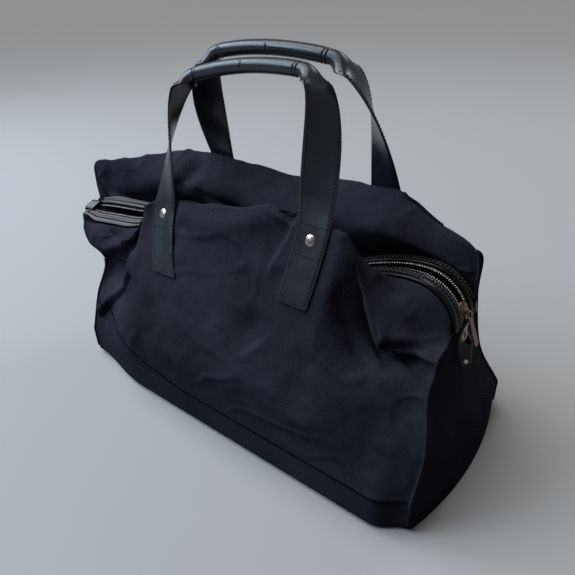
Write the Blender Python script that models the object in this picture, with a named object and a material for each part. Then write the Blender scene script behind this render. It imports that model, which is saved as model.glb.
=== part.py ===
"""Weekender bag: a slouching canvas holdall that stands on its stiffened base.

Metres, +Z up, +X to the wearer's right along the length, -Y is the front.
The origin is the middle of the base's underside.
The body is a loft through named rings, cut into its sewn panels.
The handles, the zip slider and its puller are separate moving pieces.
"""
import bmesh
import bpy
from math import cos, pi, radians, sin
from mathutils import Matrix, Vector

# Cloth, leather and clearances
CANVAS = 0.0016
STRAP = 0.0028
SEAM_GAP = 0.0003
RIM_INSET = 0.0036

# Base and band
BASE_LENGTH = 0.500
BASE_DEPTH = 0.258
BAND_HEIGHT = 0.042
BAND_GAP = 0.0010
BASE_CORNER = 0.010
END_BULGE = 0.016
BOARD = 0.0025
BOARD_MARGIN = 0.002

# Folded top: crest heights front and back, lower at the ears and corners
FRONT_CREST = 0.264
FRONT_CREST_SLOPE = 0.096
BACK_CREST = 0.284
EAR_CREST = 0.176
BACK_CORNER = 0.251
CREST_FOLD = 0.013
CREST_HALF_FOLD = 0.012

# Where the walls bulge and draw in between the band and the crest
BELLY_HEIGHT = 0.105
BELLY_END_HEIGHT = 0.097
BELLY_OUT = 0.002
FRONT_WAIST_HEIGHT = 0.178
FRONT_WAIST_DEPTH = 0.102
BACK_WAIST_HEIGHT = 0.190
BACK_WAIST_DEPTH = 0.094
FRONT_CREST_DEPTH = 0.060
BACK_CREST_DEPTH = 0.040
CORNER_DRAW_IN = 0.018
BELLY_DRAW_IN = 0.032

# Shares of the half length up to which the straps hold the cloth at its full height
FRONT_HOLD_LEFT = 0.46
FRONT_HOLD_RIGHT = 0.53
BACK_HOLD_LEFT = 0.40
BACK_HOLD_RIGHT = 0.57
BAND_HOLD_LEFT = 0.62
BAND_HOLD_RIGHT = 0.84

# Zip line: level in the middle, bent down at the right end, a drooping wing at the left end
ZIP_HEIGHT = 0.230
ZIP_BEND = 0.048
ZIP_BEND_ANGLE = radians(84)
ZIP_RIGHT = 0.239
ZIP_LEFT = -0.314
WING_START = -0.090
WING_FALL = 0.150
WING_DROP = 0.040
WING_FORWARD = 0.035
MOUTH_GAP = 0.010
TOOTH_DEPTH = 0.0028
TOOTH_PITCH = 0.0075
TAPE_WIDTH = 0.010
TAPE = 0.0010
TRIM_INNER = 0.0095
TRIM_WIDTH = 0.0160
TRIM = 0.0022
LIP_CLEAR = 0.0008

# End gussets: they stand inside the walls and hang just below the zip ends
GUSSET_FOOT = 0.0010
GUSSET_DROP = 0.007
GUSSET_DRAW_IN = 0.016
GUSSET_BAND_SHARE = 0.2
GUSSET_EAR_SHARE = 0.36

# Straps and handles
STRAP_WIDTH = 0.036
STRAP_TAIL = 0.048
STRAP_BOX = 0.030
TAIL_DRAW_IN = 0.007
FRONT_STRAP_X = 0.106
BACK_STRAP_X = 0.118
STRAP_FOLD_RING = 3.35
RIVET_BELOW_FOLD = 0.012
GRIP_RADIUS = 0.010
GRIP_WALL = 0.0016
GRIP_HALF = 0.062
GRIP_ARCH = 0.006
FUNNEL = 0.034
LEG_RISE = 0.72
FLAT_SHARE = 0.50
FRONT_GRIP_HEIGHT = 0.396
BACK_GRIP_HEIGHT = 0.409
GRIP_SPREAD = 0.016

# Rivets
RIVET_HEAD = 0.0055
RIVET_DOME = 0.0030
RIVET_SHANK = 0.0020
RIVET_SEAT = 0.0006
RIVET_PROUD = 0.0006
RIVET_CAP = 0.0045
RIVET_CAP_HEIGHT = 0.0018

# Slider, puller and end tabs
SLIDER_ANGLE = radians(70)
SLIDER_SPAN = radians(24)
SLIDER_HALF_WIDTH = 0.0078
SLIDER_PLATE = 0.0016
SLIDER_NECK_HALF = 0.0030
SLIDER_CLEAR = 0.0005
BAIL_OUTER = 0.0028
BAIL_INNER = 0.0016
BAIL_WIDTH = 0.0024
BAIL_SHIFT = radians(3.0)
PULLER_LENGTH = 0.036
PULLER_HALF_WIDTH = 0.0042
PULLER_THICK = 0.0016
PULLER_WINDOW = 0.0036
PULLER_SIDE_GAP = 0.0006
PULLER_LEAN = radians(20)
TAB_HALF_WIDTH = 0.0080
TAB_LENGTH = 0.060
TAB_THICK = 0.0024
TAB_RIVET = 0.022
TAB_SEAT = 0.0008
TAB_TAPER = 0.35


def material(name, colour, roughness, metallic=0.0):
    made = bpy.data.materials.get(name)
    if made:
        return made
    made = bpy.data.materials.new(name)
    made.use_nodes = True
    shader = made.node_tree.nodes["Principled BSDF"]
    shader.inputs["Base Color"].default_value = (*colour, 1.0)
    shader.inputs["Roughness"].default_value = roughness
    shader.inputs["Metallic"].default_value = metallic
    return made


def canvas():
    return material("navy_canvas", (0.020, 0.021, 0.030), 0.85)


def leather():
    return material("black_leather", (0.014, 0.013, 0.013), 0.42)


def nickel():
    return material("polished_nickel", (0.72, 0.70, 0.67), 0.22, 1.0)


def tape_cloth():
    return material("zip_tape", (0.012, 0.012, 0.014), 0.8)


def core_foam():
    return material("grip_core", (0.05, 0.05, 0.05), 0.9)


def board_fibre():
    return material("base_board", (0.10, 0.085, 0.07), 0.8)


def mesh_object(name, points, faces, finish, parent=None):
    mesh = bpy.data.meshes.new(name)
    mesh.from_pydata([tuple(p) for p in points], [], faces)
    work = bmesh.new()
    work.from_mesh(mesh)
    bmesh.ops.recalc_face_normals(work, faces=work.faces)
    work.to_mesh(mesh)
    work.free()
    mesh.materials.append(finish)
    mesh.shade_smooth()
    mesh.set_sharp_from_angle(angle=radians(35))
    made = bpy.data.objects.new(name, mesh)
    bpy.context.scene.collection.objects.link(made)
    made.parent = parent
    return made


def loft(name, rings, finish, parent=None):
    """A closed solid through equal rings of points, with both ends filled."""
    count = len(rings[0])
    points = [p for ring in rings for p in ring]
    faces = [tuple(range(count)), tuple(range(len(points) - count, len(points)))]
    for row in range(len(rings) - 1):
        for i in range(count):
            j = (i + 1) % count
            low = row * count
            faces.append((low + i, low + j, low + count + j, low + count + i))
    return mesh_object(name, points, faces, finish, parent)


def tube(name, outer, inner, finish, parent=None):
    """A hollow solid, open at both ends, between two equal stacks of rings."""
    count = len(outer[0])
    rows = outer + inner[::-1]
    points = [p for ring in rows for p in ring]
    faces = []
    for row in range(len(rows)):
        low = row * count
        high = (row + 1) % len(rows) * count
        for i in range(count):
            j = (i + 1) % count
            faces.append((low + i, low + j, high + j, high + i))
    return mesh_object(name, points, faces, finish, parent)


def sheet(name, rows, thickness, finish, inward=True, lift=0.0, parent=None):
    """A cloth or leather sheet from a grid of points, thickened along its normals.

    The grid's normal is its row direction crossed with its column direction.
    """
    high, wide = len(rows), len(rows[0])
    normals = []
    for i in range(high):
        for j in range(wide):
            along = rows[i][min(j + 1, wide - 1)] - rows[i][max(j - 1, 0)]
            up = rows[min(i + 1, high - 1)][j] - rows[max(i - 1, 0)][j]
            normals.append(along.cross(up).normalized())
    flat = [p for row in rows for p in row]
    near, far = lift, lift - thickness if inward else lift + thickness
    points = [p + n * near for p, n in zip(flat, normals)]
    points += [p + n * far for p, n in zip(flat, normals)]
    back = high * wide
    faces = []
    for i in range(high - 1):
        for j in range(wide - 1):
            a, b, c, d = i * wide + j, i * wide + j + 1, (i + 1) * wide + j + 1, (i + 1) * wide + j
            faces.append((a, b, c, d))
            faces.append((back + d, back + c, back + b, back + a))
    rim = list(range(wide)) + [i * wide + wide - 1 for i in range(1, high)]
    rim += [(high - 1) * wide + j for j in range(wide - 2, -1, -1)]
    rim += [i * wide for i in range(high - 2, 0, -1)]
    for a, b in zip(rim, rim[1:] + rim[:1]):
        faces.append((a, back + a, back + b, b))
    return mesh_object(name, points, faces, finish, parent)


def drill(target, point, normal, radius, depth):
    """Cut a round hole through a sheet at a point, along a normal."""
    mesh = bpy.data.meshes.new("hole")
    work = bmesh.new()
    bmesh.ops.create_cone(work, cap_ends=True, segments=12, radius1=radius, radius2=radius, depth=depth)
    work.to_mesh(mesh)
    work.free()
    cutter = bpy.data.objects.new("hole", mesh)
    bpy.context.scene.collection.objects.link(cutter)
    turn = Vector((0, 0, 1)).rotation_difference(normal).to_matrix().to_4x4()
    cutter.matrix_world = Matrix.Translation(point) @ turn
    cutter.hide_render = True
    cutter.display_type = "WIRE"
    cut = target.modifiers.new("hole", "BOOLEAN")
    cut.object = cutter


def spread(low, high, count):
    return [low + (high - low) * i / (count - 1) for i in range(count)]


def smooth(t):
    t = min(max(t, 0.0), 1.0)
    return t * t * (3 - 2 * t)


def spline(knots, at):
    """A smooth curve through knots, read at a knot number that may be a fraction."""
    last = len(knots) - 1
    i = min(int(at), last - 1)
    t = at - i
    before = knots[i - 1] if i > 0 else knots[0] * 2 - knots[1]
    after = knots[i + 2] if i + 2 <= last else knots[last] * 2 - knots[last - 1]
    a, b = knots[i], knots[i + 1]
    out, into = (b - before) * 0.5, (after - a) * 0.5
    return (a * (2 * t**3 - 3 * t**2 + 1) + out * (t**3 - 2 * t**2 + t)
            + b * (3 * t**2 - 2 * t**3) + into * (t**3 - t**2))


# The zip line is read by a length from its left end
BEND_RUN = ZIP_BEND * sin(ZIP_BEND_ANGLE)
BEND_LENGTH = ZIP_BEND * ZIP_BEND_ANGLE
BEND_CENTRE = Vector((ZIP_RIGHT - BEND_RUN, 0.0, ZIP_HEIGHT - ZIP_BEND))
BEND_START = BEND_CENTRE.x - ZIP_LEFT
ZIP_LENGTH = BEND_START + BEND_LENGTH


def bend_point(angle, radius, y):
    """A point by the right-hand bend; the angle is zero at the top and grows towards the end."""
    return BEND_CENTRE + Vector((radius * sin(angle), y, radius * cos(angle)))


def zip_point(length, y, rise=0.0):
    """A point of the zip at a length from its left end, raised along the zip's normal."""
    if length > BEND_START:
        return bend_point((length - BEND_START) / ZIP_BEND, ZIP_BEND + rise, y)
    x = ZIP_LEFT + length
    wing = max(0.0, WING_START - x)
    forward = WING_FORWARD * (wing / (WING_START - ZIP_LEFT)) ** 2
    return Vector((x, y - forward, ZIP_HEIGHT - WING_DROP * smooth(wing / WING_FALL) + rise))


# Rings of the wall: a left end, a right end, and the depth and height between the straps
LIP_Y = TRIM_INNER + TRIM_WIDTH
LIP_DROP = -TRIM - 2 * SEAM_GAP
TAPE_TOP = -TRIM - SEAM_GAP
HALF_LENGTH = BASE_LENGTH / 2
HALF_DEPTH = BASE_DEPTH / 2
SEAM_Z = BAND_HEIGHT + BAND_GAP
WING_Z = ZIP_HEIGHT - WING_DROP
CORNER_Y = HALF_DEPTH - CORNER_DRAW_IN
BELLY_END_Y = HALF_DEPTH - BELLY_DRAW_IN
BAND_HOLDS = (BAND_HOLD_LEFT, BAND_HOLD_RIGHT)
FRONT_HOLDS = (FRONT_HOLD_LEFT, FRONT_HOLD_RIGHT)
BACK_HOLDS = (BACK_HOLD_LEFT, BACK_HOLD_RIGHT)


class Ring:
    def __init__(self, left, right, depth, height, holds, slope=0.0):
        self.left, self.right = Vector(left), Vector(right)
        self.depth, self.height, self.slope = depth, height, slope
        self.hold_left, self.hold_right = holds

    def point(self, share):
        """The point at a share along the ring: full height between the holds, then down to an end."""
        end, hold = (self.left, self.hold_left) if share < 0 else (self.right, self.hold_right)
        raised = 1.0 - smooth((abs(share) - hold) / (1.0 - hold))
        x = end.x * abs(share)
        y = end.y + (self.depth - end.y) * raised
        z = end.z + (self.height + self.slope * x - end.z) * raised
        return Vector((x, y, z))


FRONT_RINGS = [
    Ring(left=(-HALF_LENGTH, -CORNER_Y, SEAM_Z),
         right=(HALF_LENGTH, -CORNER_Y, SEAM_Z),
         depth=-HALF_DEPTH, height=SEAM_Z, holds=BAND_HOLDS),
    Ring(left=(-HALF_LENGTH + 0.008, -BELLY_END_Y, BELLY_END_HEIGHT),
         right=(HALF_LENGTH + 0.002, -BELLY_END_Y, BELLY_END_HEIGHT),
         depth=-HALF_DEPTH - BELLY_OUT, height=BELLY_HEIGHT, holds=FRONT_HOLDS),
    Ring(left=(-HALF_LENGTH + 0.005, -FRONT_WAIST_DEPTH + 0.028, FRONT_WAIST_HEIGHT - 0.042),
         right=(ZIP_RIGHT + 0.002, -FRONT_WAIST_DEPTH + 0.022, FRONT_WAIST_HEIGHT - 0.030),
         depth=-FRONT_WAIST_DEPTH, height=FRONT_WAIST_HEIGHT, holds=FRONT_HOLDS),
    Ring(left=(ZIP_LEFT + 0.044, -FRONT_CREST_DEPTH - 0.014, EAR_CREST - 0.020),
         right=(ZIP_RIGHT - 0.001, -FRONT_CREST_DEPTH - 0.003, EAR_CREST - 0.014),
         depth=-FRONT_CREST_DEPTH - 0.008, height=FRONT_CREST - CREST_FOLD,
         holds=FRONT_HOLDS, slope=FRONT_CREST_SLOPE),
    Ring(left=(ZIP_LEFT + 0.034, -FRONT_CREST_DEPTH - 0.014, EAR_CREST - 0.002),
         right=(ZIP_RIGHT - 0.001, -FRONT_CREST_DEPTH + 0.002, EAR_CREST),
         depth=-FRONT_CREST_DEPTH, height=FRONT_CREST, holds=FRONT_HOLDS, slope=FRONT_CREST_SLOPE),
    Ring(left=(ZIP_LEFT + 0.016, -FRONT_CREST_DEPTH - 0.008, WING_Z - 0.006),
         right=(ZIP_RIGHT, -FRONT_CREST_DEPTH + 0.018, EAR_CREST + 0.006),
         depth=-FRONT_CREST_DEPTH + 0.014, height=FRONT_CREST - CREST_HALF_FOLD,
         holds=FRONT_HOLDS, slope=FRONT_CREST_SLOPE / 2),
]
BACK_RINGS = [
    Ring(left=(-HALF_LENGTH, CORNER_Y, SEAM_Z),
         right=(HALF_LENGTH, CORNER_Y, SEAM_Z),
         depth=HALF_DEPTH, height=SEAM_Z, holds=BAND_HOLDS),
    Ring(left=(-HALF_LENGTH + 0.008, BELLY_END_Y, BELLY_END_HEIGHT),
         right=(HALF_LENGTH - 0.022, BELLY_END_Y - 0.006, BELLY_END_HEIGHT),
         depth=HALF_DEPTH + BELLY_OUT, height=BELLY_HEIGHT, holds=BACK_HOLDS),
    Ring(left=(-HALF_LENGTH - 0.014, BACK_WAIST_DEPTH - 0.034, BACK_WAIST_HEIGHT - 0.014),
         right=(ZIP_RIGHT - 0.015, BACK_WAIST_DEPTH - 0.030, BACK_WAIST_HEIGHT - 0.012),
         depth=BACK_WAIST_DEPTH, height=BACK_WAIST_HEIGHT, holds=BACK_HOLDS),
    Ring(left=(ZIP_LEFT - 0.014, 0.016, BACK_CORNER - 0.024),
         right=(ZIP_RIGHT - 0.008, BACK_CREST_DEPTH - 0.001, BACK_CORNER - 0.016),
         depth=BACK_CREST_DEPTH + 0.010, height=BACK_CREST - CREST_FOLD, holds=BACK_HOLDS),
    Ring(left=(ZIP_LEFT - 0.028, 0.005, BACK_CORNER - 0.004),
         right=(ZIP_RIGHT - 0.009, BACK_CREST_DEPTH - 0.006, BACK_CORNER),
         depth=BACK_CREST_DEPTH, height=BACK_CREST, holds=BACK_HOLDS),
    Ring(left=(ZIP_LEFT - 0.012, 0.009, BACK_CORNER - 0.037),
         right=(ZIP_RIGHT - 0.005, BACK_CREST_DEPTH - 0.008, BACK_CORNER - 0.020),
         depth=BACK_CREST_DEPTH - 0.009, height=BACK_CREST - CREST_FOLD, holds=BACK_HOLDS),
]
LIP_RING = len(FRONT_RINGS)
GUSSET_TOP_RING = {-1: LIP_RING - 2, 1: LIP_RING - 3.4}


def lip_length(share):
    """The zip's length at a share of the wall; the share is zero at the middle of the bag."""
    middle = -ZIP_LEFT
    return middle * (1 + share) if share < 0 else middle + (ZIP_LENGTH - middle) * share


def wall_point(side, share, ring):
    """A point of the front (side -1) or back (side 1) wall, from the band seam to the zip lip."""
    rings = FRONT_RINGS if side < 0 else BACK_RINGS
    knots = [r.point(share) for r in rings]
    knots.append(zip_point(lip_length(share), side * (LIP_Y + LIP_CLEAR), LIP_DROP))
    return spline(knots, ring)


def wall_normal(side, share, ring):
    step = 0.01
    along = wall_point(side, share + step, ring) - wall_point(side, share - step, ring)
    up = wall_point(side, share, ring + step) - wall_point(side, share, ring - step)
    return along.cross(up).normalized() * -side


def share_at(side, x, ring):
    """The share along the wall where a ring passes a given x."""
    low, high = -1.0, 1.0
    for _ in range(40):
        middle = (low + high) / 2
        if wall_point(side, middle, ring).x < x:
            low = middle
        else:
            high = middle
    return (low + high) / 2


def wall_rows(side, stations, rings):
    """Rows of a wall whose normal points out of the bag."""
    rows = [[wall_point(side, s, r) for s in stations] for r in rings]
    return rows if side < 0 else [row[::-1] for row in rows]


def build_walls():
    rings = spread(0, 3, 8) + spread(3, LIP_RING, 9)[1:]
    stations = spread(-1, 0, 18) + spread(0, 1, 12)[1:]
    front = sheet("front_panel", wall_rows(-1, stations, rings), CANVAS, canvas())
    back = sheet("back_panel", wall_rows(1, stations, rings), CANVAS, canvas())
    return front, back


def end_edge(side, end, rise):
    """The wall's end seam, from the base corner (rise 0) to the gusset's upper corner (rise 1)."""
    if rise < GUSSET_BAND_SHARE:
        top = wall_point(side, end, 0)
        return Vector((top.x, top.y, GUSSET_FOOT + (top.z - GUSSET_FOOT) * rise / GUSSET_BAND_SHARE))
    return wall_point(side, end, (rise - GUSSET_BAND_SHARE) / (1 - GUSSET_BAND_SHARE) * GUSSET_TOP_RING[side])


def gusset_top(end, across):
    """The gusset's upper edge: up the front ear, across the zip end, up the back corner."""
    front, back = wall_point(-1, end, LIP_RING), wall_point(1, end, LIP_RING)
    if across < GUSSET_EAR_SHARE:
        point = gusset_row(end, 0, 1).lerp(front, across / GUSSET_EAR_SHARE)
    elif across > 1 - GUSSET_EAR_SHARE:
        point = gusset_row(end, 1, 1).lerp(back, (1 - across) / GUSSET_EAR_SHARE)
    else:
        point = front.lerp(back, (across - GUSSET_EAR_SHARE) / (1 - 2 * GUSSET_EAR_SHARE))
    point.z -= GUSSET_DROP
    return point


def gusset_row(end, across, rise):
    """A straight row of the gusset between its two end seams, clear of both walls."""
    front, back = end_edge(-1, end, rise), end_edge(1, end, rise)
    front.y += RIM_INSET
    back.y -= RIM_INSET
    return front.lerp(back, across)


def gusset_point(end, across, rise):
    """A point of an end gusset; its middle is drawn in below the zip end."""
    point = gusset_row(end, across, rise)
    point += (gusset_top(end, across) - gusset_row(end, across, 1)) * rise**2
    point.x -= end * GUSSET_DRAW_IN * sin(pi * rise) * sin(pi * across)
    point.x += end * END_BULGE * (1 - rise) ** 2 * (1 - (2 * across - 1) ** 2)
    return point


def gusset_normal(end, across, rise):
    step = 0.01
    along = gusset_point(end, across + step, rise) - gusset_point(end, across - step, rise)
    up = gusset_point(end, across, rise + step) - gusset_point(end, across, rise - step)
    return along.cross(up).normalized() * end


def build_gusset(name, end):
    rises = spread(0, 1, 13)
    across = spread(0, 1, 15)
    rows = [[gusset_point(end, a, r) for a in across] for r in rises]
    if end < 0:
        rows = [row[::-1] for row in rows]
    return sheet(name, rows, CANVAS, canvas())


def build_base():
    """The bottom cloth is one piece: it floors the bag and turns up as a band at front and back."""
    inside = 1 - RIM_INSET / HALF_LENGTH
    corner = [(BASE_CORNER * (1 - cos(a)), BASE_CORNER * (1 - sin(a))) for a in spread(0, pi / 2, 4)]
    rows, front_edge, back_edge = [], [], []
    for share in spread(-inside, inside, 13):
        front, back = wall_point(-1, share, 0), wall_point(1, share, 0)
        profile = [(front.y, BAND_HEIGHT)] + [(front.y + depth, z) for depth, z in corner]
        profile += [(back.y - depth, z) for depth, z in corner[::-1]] + [(back.y, BAND_HEIGHT)]
        bulge = END_BULGE * share**3
        rows.append([Vector((front.x + bulge * (1 - (y / back.y) ** 2), y, z)) for y, z in profile])
        x = front.x * (1 - BOARD_MARGIN / HALF_LENGTH)
        front_edge.append((x, front.y + BASE_CORNER + BOARD_MARGIN))
        back_edge.append((x, back.y - BASE_CORNER - BOARD_MARGIN))
    sheet("base_panel", rows, CANVAS, canvas())
    low = CANVAS + SEAM_GAP
    outline = front_edge + back_edge[::-1]
    rings = [[Vector((x, y, z)) for x, y in outline] for z in (low, low + BOARD)]
    loft("base_board", rings, board_fibre())


class Strap:
    """One sewn strap end: where it leaves the panel, and its outer face below that fold."""

    def __init__(self, side, x):
        self.side, self.x = side, x
        share = share_at(side, x, STRAP_FOLD_RING)
        self.fold = wall_point(side, share, STRAP_FOLD_RING)
        self.normal = wall_normal(side, share, STRAP_FOLD_RING)
        self.axis_point = self.fold + self.normal * (SEAM_GAP + STRAP)

    def surface(self, offset, below):
        """A point of the panel under the strap, a length below its fold line."""
        draw_in = TAIL_DRAW_IN * max(0.0, below - STRAP_BOX) / STRAP_TAIL
        x = self.x + offset - (draw_in if self.x > 0 else -draw_in)
        ring = STRAP_FOLD_RING
        gone = 0.0
        step = 0.01
        here = wall_point(self.side, share_at(self.side, x, ring), ring)
        while gone < below and ring > step:
            ring -= step
            there = wall_point(self.side, share_at(self.side, x, ring), ring)
            gone += (there - here).length
            here = there
        return x, ring

    def rows(self, low, high, count):
        rows = []
        for below in spread(low, high, count):
            row = []
            for offset in spread(-STRAP_WIDTH / 2, STRAP_WIDTH / 2, 5):
                x, ring = self.surface(offset, below)
                row.append(wall_point(self.side, share_at(self.side, x, ring), ring))
            rows.append(row)
        return rows if self.side < 0 else [row[::-1] for row in rows]


def turned(name, profile, point, normal, finish, steps=12):
    """A round piece turned from (radius, height) pairs, standing on a point along a normal."""
    turn = Matrix.Translation(point) @ Vector((0, 0, 1)).rotation_difference(normal).to_matrix().to_4x4()
    rings = []
    for radius, height in profile:
        ring = [Vector((radius * cos(2 * pi * i / steps), radius * sin(2 * pi * i / steps), height))
                for i in range(steps)]
        rings.append([turn @ p for p in ring])
    return loft(name, rings, finish)


def rivet(name, point, normal, through):
    """A dome rivet: its head lies on the leather and its shank passes through to a cap inside."""
    dome = [(RIVET_HEAD * cos(a), RIVET_DOME * sin(a)) for a in spread(0.2, pi / 2 - 0.3, 3)]
    profile = [(RIVET_SHANK, -through), (RIVET_SHANK, 0), (RIVET_HEAD * 0.94, 0)] + dome
    turned(name, profile, point + normal * RIVET_SEAT, normal, nickel())
    cap = [(RIVET_CAP, -RIVET_CAP_HEIGHT), (RIVET_CAP, -RIVET_CAP_HEIGHT * 0.4), (RIVET_CAP * 0.8, 0)]
    seat = point + normal * (RIVET_SEAT - through - SEAM_GAP)
    turned(name + "_cap", cap, seat, normal, nickel())


def build_strap(name, strap, panel):
    patch = sheet(name, strap.rows(STRAP_BOX + STRAP_TAIL, SEAM_GAP, 11), STRAP, leather(),
                  inward=False, lift=SEAM_GAP)
    x, ring = strap.surface(0.0, RIVET_BELOW_FOLD)
    share = share_at(strap.side, x, ring)
    normal = wall_normal(strap.side, share, ring)
    point = wall_point(strap.side, share, ring)
    through = SEAM_GAP + STRAP + RIVET_SEAT + CANVAS + RIVET_PROUD
    for target in (patch, panel):
        drill(target, point, normal, RIVET_SHANK + SEAM_GAP, 0.016)
    rivet(name + "_rivet", point + normal * (SEAM_GAP + STRAP), normal, through)


def rounded_section(half_width, half_thick, corner, count=12):
    """Points of a section between a flat strap (large corner value) and a round (2)."""
    points = []
    for i in range(count):
        a = 2 * pi * (i + 0.5) / count
        across = abs(cos(a)) ** (2 / corner) * (1 if cos(a) > 0 else -1)
        through = abs(sin(a)) ** (2 / corner) * (1 if sin(a) > 0 else -1)
        points.append((half_width * across, half_thick * through))
    return points


class Handle:
    """A carrying handle: two straps that roll up into one round grip, hinged at the strap folds."""

    def __init__(self, label, side, spacing, grip_height):
        self.label, self.side, self.spacing = label, side, spacing
        left, right = Strap(side, -spacing).axis_point, Strap(side, spacing).axis_point
        self.half = (right - left).length / 2
        middle = (left + right) / 2
        along = (right - left).normalized()
        to_grip = Vector((middle.x, side * GRIP_SPREAD, grip_height)) - middle
        up = (to_grip - along * to_grip.dot(along)).normalized()
        self.reach = to_grip.length
        out = up.cross(along)
        self.empty = bpy.data.objects.new(label + "_handle_hinge", None)
        bpy.context.scene.collection.objects.link(self.empty)
        place = Matrix((along, out, up)).transposed().to_4x4()
        place.translation = middle
        self.empty.matrix_world = place

    def grip_line(self, x):
        return self.reach + GRIP_ARCH * (1 - (x / GRIP_HALF) ** 2)

    def leg_path(self, sign, t):
        """The strap's middle line, from the fold up and over to the grip's end."""
        end_slope = 2 * GRIP_ARCH / GRIP_HALF
        start = Vector((self.half, 0, SEAM_GAP))
        end = Vector((GRIP_HALF + SEAM_GAP, 0, self.reach))
        rising = start + Vector((0, 0, self.reach * LEG_RISE))
        turning = end + Vector((FUNNEL, 0, -FUNNEL * end_slope))
        u = 1 - t
        point = start * u**3 + rising * 3 * u * u * t + turning * 3 * u * t * t + end * t**3
        slope = (rising - start) * u * u + (turning - rising) * 2 * u * t + (end - turning) * t * t
        slope.normalize()
        return Vector((sign * point.x, 0, point.z)), Vector((sign * slope.x, 0, slope.z))

    def build_leg(self, name, sign):
        rings = []
        for t in spread(0, 1, 15):
            point, along = self.leg_path(sign, t)
            across = Vector((along.z, 0, -along.x))
            roll = smooth((t - FLAT_SHARE) / (1 - FLAT_SHARE))
            half_width = STRAP_WIDTH / 2 + (GRIP_RADIUS - STRAP_WIDTH / 2) * roll
            half_thick = STRAP / 2 + (GRIP_RADIUS - STRAP / 2) * roll**1.5
            corner = 2 + 8 * (1 - roll) ** 3
            inner = Vector((0, -self.side * STRAP / 2, 0))
            rings.append([point + inner + across * a + Vector((0, b, 0))
                          for a, b in rounded_section(half_width, half_thick, corner)])
        return loft(name, rings, leather(), self.empty)

    def grip_ring(self, x, radius):
        tilt = -2 * GRIP_ARCH * x / GRIP_HALF**2
        across = Vector((-tilt, 0, 1)).normalized()
        centre = Vector((x, -self.side * STRAP / 2, self.grip_line(x)))
        return [centre + across * a + Vector((0, b, 0)) for a, b in rounded_section(radius, radius, 2)]

    def build(self):
        self.build_leg(self.label + "_handle_left_strap", -1)
        self.build_leg(self.label + "_handle_right_strap", 1)
        stations = spread(-GRIP_HALF, GRIP_HALF, 7)
        bore = GRIP_RADIUS - GRIP_WALL
        outer = [self.grip_ring(x, GRIP_RADIUS) for x in stations]
        tube(self.label + "_grip", outer, [self.grip_ring(x, bore) for x in stations], leather(), self.empty)
        core = [self.grip_ring(x, bore - SEAM_GAP) for x in stations]
        loft(self.label + "_grip_core", core, core_foam(), self.empty)


def zip_strip(name, side, inner, outer, top, thickness, finish):
    """A strip that follows the zip between two depths, its upper face raised by top."""
    wing = WING_START - ZIP_LEFT
    lengths = spread(0, wing, 24) + spread(wing, BEND_START, 4)[1:] + spread(BEND_START, ZIP_LENGTH, 9)[1:]
    rings = []
    for length in lengths:
        rings.append([zip_point(length, side * y, rise) for y, rise in
                      ((inner, top), (outer, top), (outer, top - thickness), (inner, top - thickness))])
    return loft(name, rings, finish)


def build_teeth(name, side):
    """The zip tape, with its row of teeth as a comb along the inner edge."""
    top, low = TAPE_TOP, TAPE_TOP - TAPE
    edge, root, outer = MOUTH_GAP / 2, MOUTH_GAP / 2 + TOOTH_DEPTH, MOUTH_GAP / 2 + TAPE_WIDTH
    count = int(ZIP_LENGTH / TOOTH_PITCH)
    step = ZIP_LENGTH / count / 2
    rings = []
    for i in range(2 * count + 1):
        depth = edge if i % 2 else root
        rings.append([zip_point(i * step, side * y, rise) for y, rise in
                      ((depth, top), (outer, top), (outer, low), (depth, low))])
    return loft(name, rings, tape_cloth())


def build_slider():
    """The slider rides the right-hand bend: two plates joined by a neck that runs in the mouth."""
    top_low = TAPE_TOP + SLIDER_CLEAR
    low_top = TAPE_TOP - TAPE - SLIDER_CLEAR
    top, low = top_low + SLIDER_PLATE, low_top - SLIDER_PLATE
    wide, neck = SLIDER_HALF_WIDTH, SLIDER_NECK_HALF
    beam = ((-wide, top), (wide, top), (wide, top_low), (neck, top_low), (neck, low_top), (wide, low_top),
            (wide, low), (-wide, low), (-wide, low_top), (-neck, low_top), (-neck, top_low), (-wide, top_low))
    angles = spread(SLIDER_ANGLE - SLIDER_SPAN / 2, SLIDER_ANGLE + SLIDER_SPAN / 2, 7)
    rings = [[bend_point(a, ZIP_BEND + rise, y) - BEND_CENTRE for y, rise in beam] for a in angles]
    loft("zip_slider", rings, nickel(), SLIDER_EMPTY)
    pivot = bend_point(SLIDER_ANGLE + BAIL_SHIFT, ZIP_BEND + top + SEAM_GAP + BAIL_OUTER, 0.0)
    half = BAIL_WIDTH / 2
    stacks = []
    for radius in (BAIL_OUTER, BAIL_INNER):
        loop = [(radius * cos(2 * pi * i / 16), radius * sin(2 * pi * i / 16)) for i in range(16)]
        stacks.append([[pivot - BEND_CENTRE + Vector((x, y, z)) for x, z in loop] for y in (-half, half)])
    tube("slider_bail", stacks[0], stacks[1], nickel(), SLIDER_EMPTY)
    return pivot


def build_puller():
    """A long puller: a pin at its end goes through the bail, which stands in its window."""
    pin = PULLER_THICK / 2
    centre = (pin + PULLER_WINDOW) / 2
    window = rounded_section(BAIL_WIDTH / 2 + PULLER_SIDE_GAP, (PULLER_WINDOW - pin) / 2, 4)
    outline = []
    for across, along in rounded_section(PULLER_HALF_WIDTH, 1.0, 4):
        reach = PULLER_LENGTH - centre if along > 0 else centre + pin
        outline.append((across, along * reach))
    stacks = []
    for loop in (outline, window):
        stacks.append([[Vector((through, across, -centre - along)) for across, along in loop]
                       for through in (-pin, pin)])
    tube("zip_puller", stacks[0], stacks[1], nickel(), PULLER_EMPTY)


def across_at(end, y, rise):
    """The share across a gusset where a row passes a given y."""
    low, high = 0.0, 1.0
    for _ in range(40):
        middle = (low + high) / 2
        if gusset_point(end, middle, rise).y < y:
            low = middle
        else:
            high = middle
    return (low + high) / 2


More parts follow.
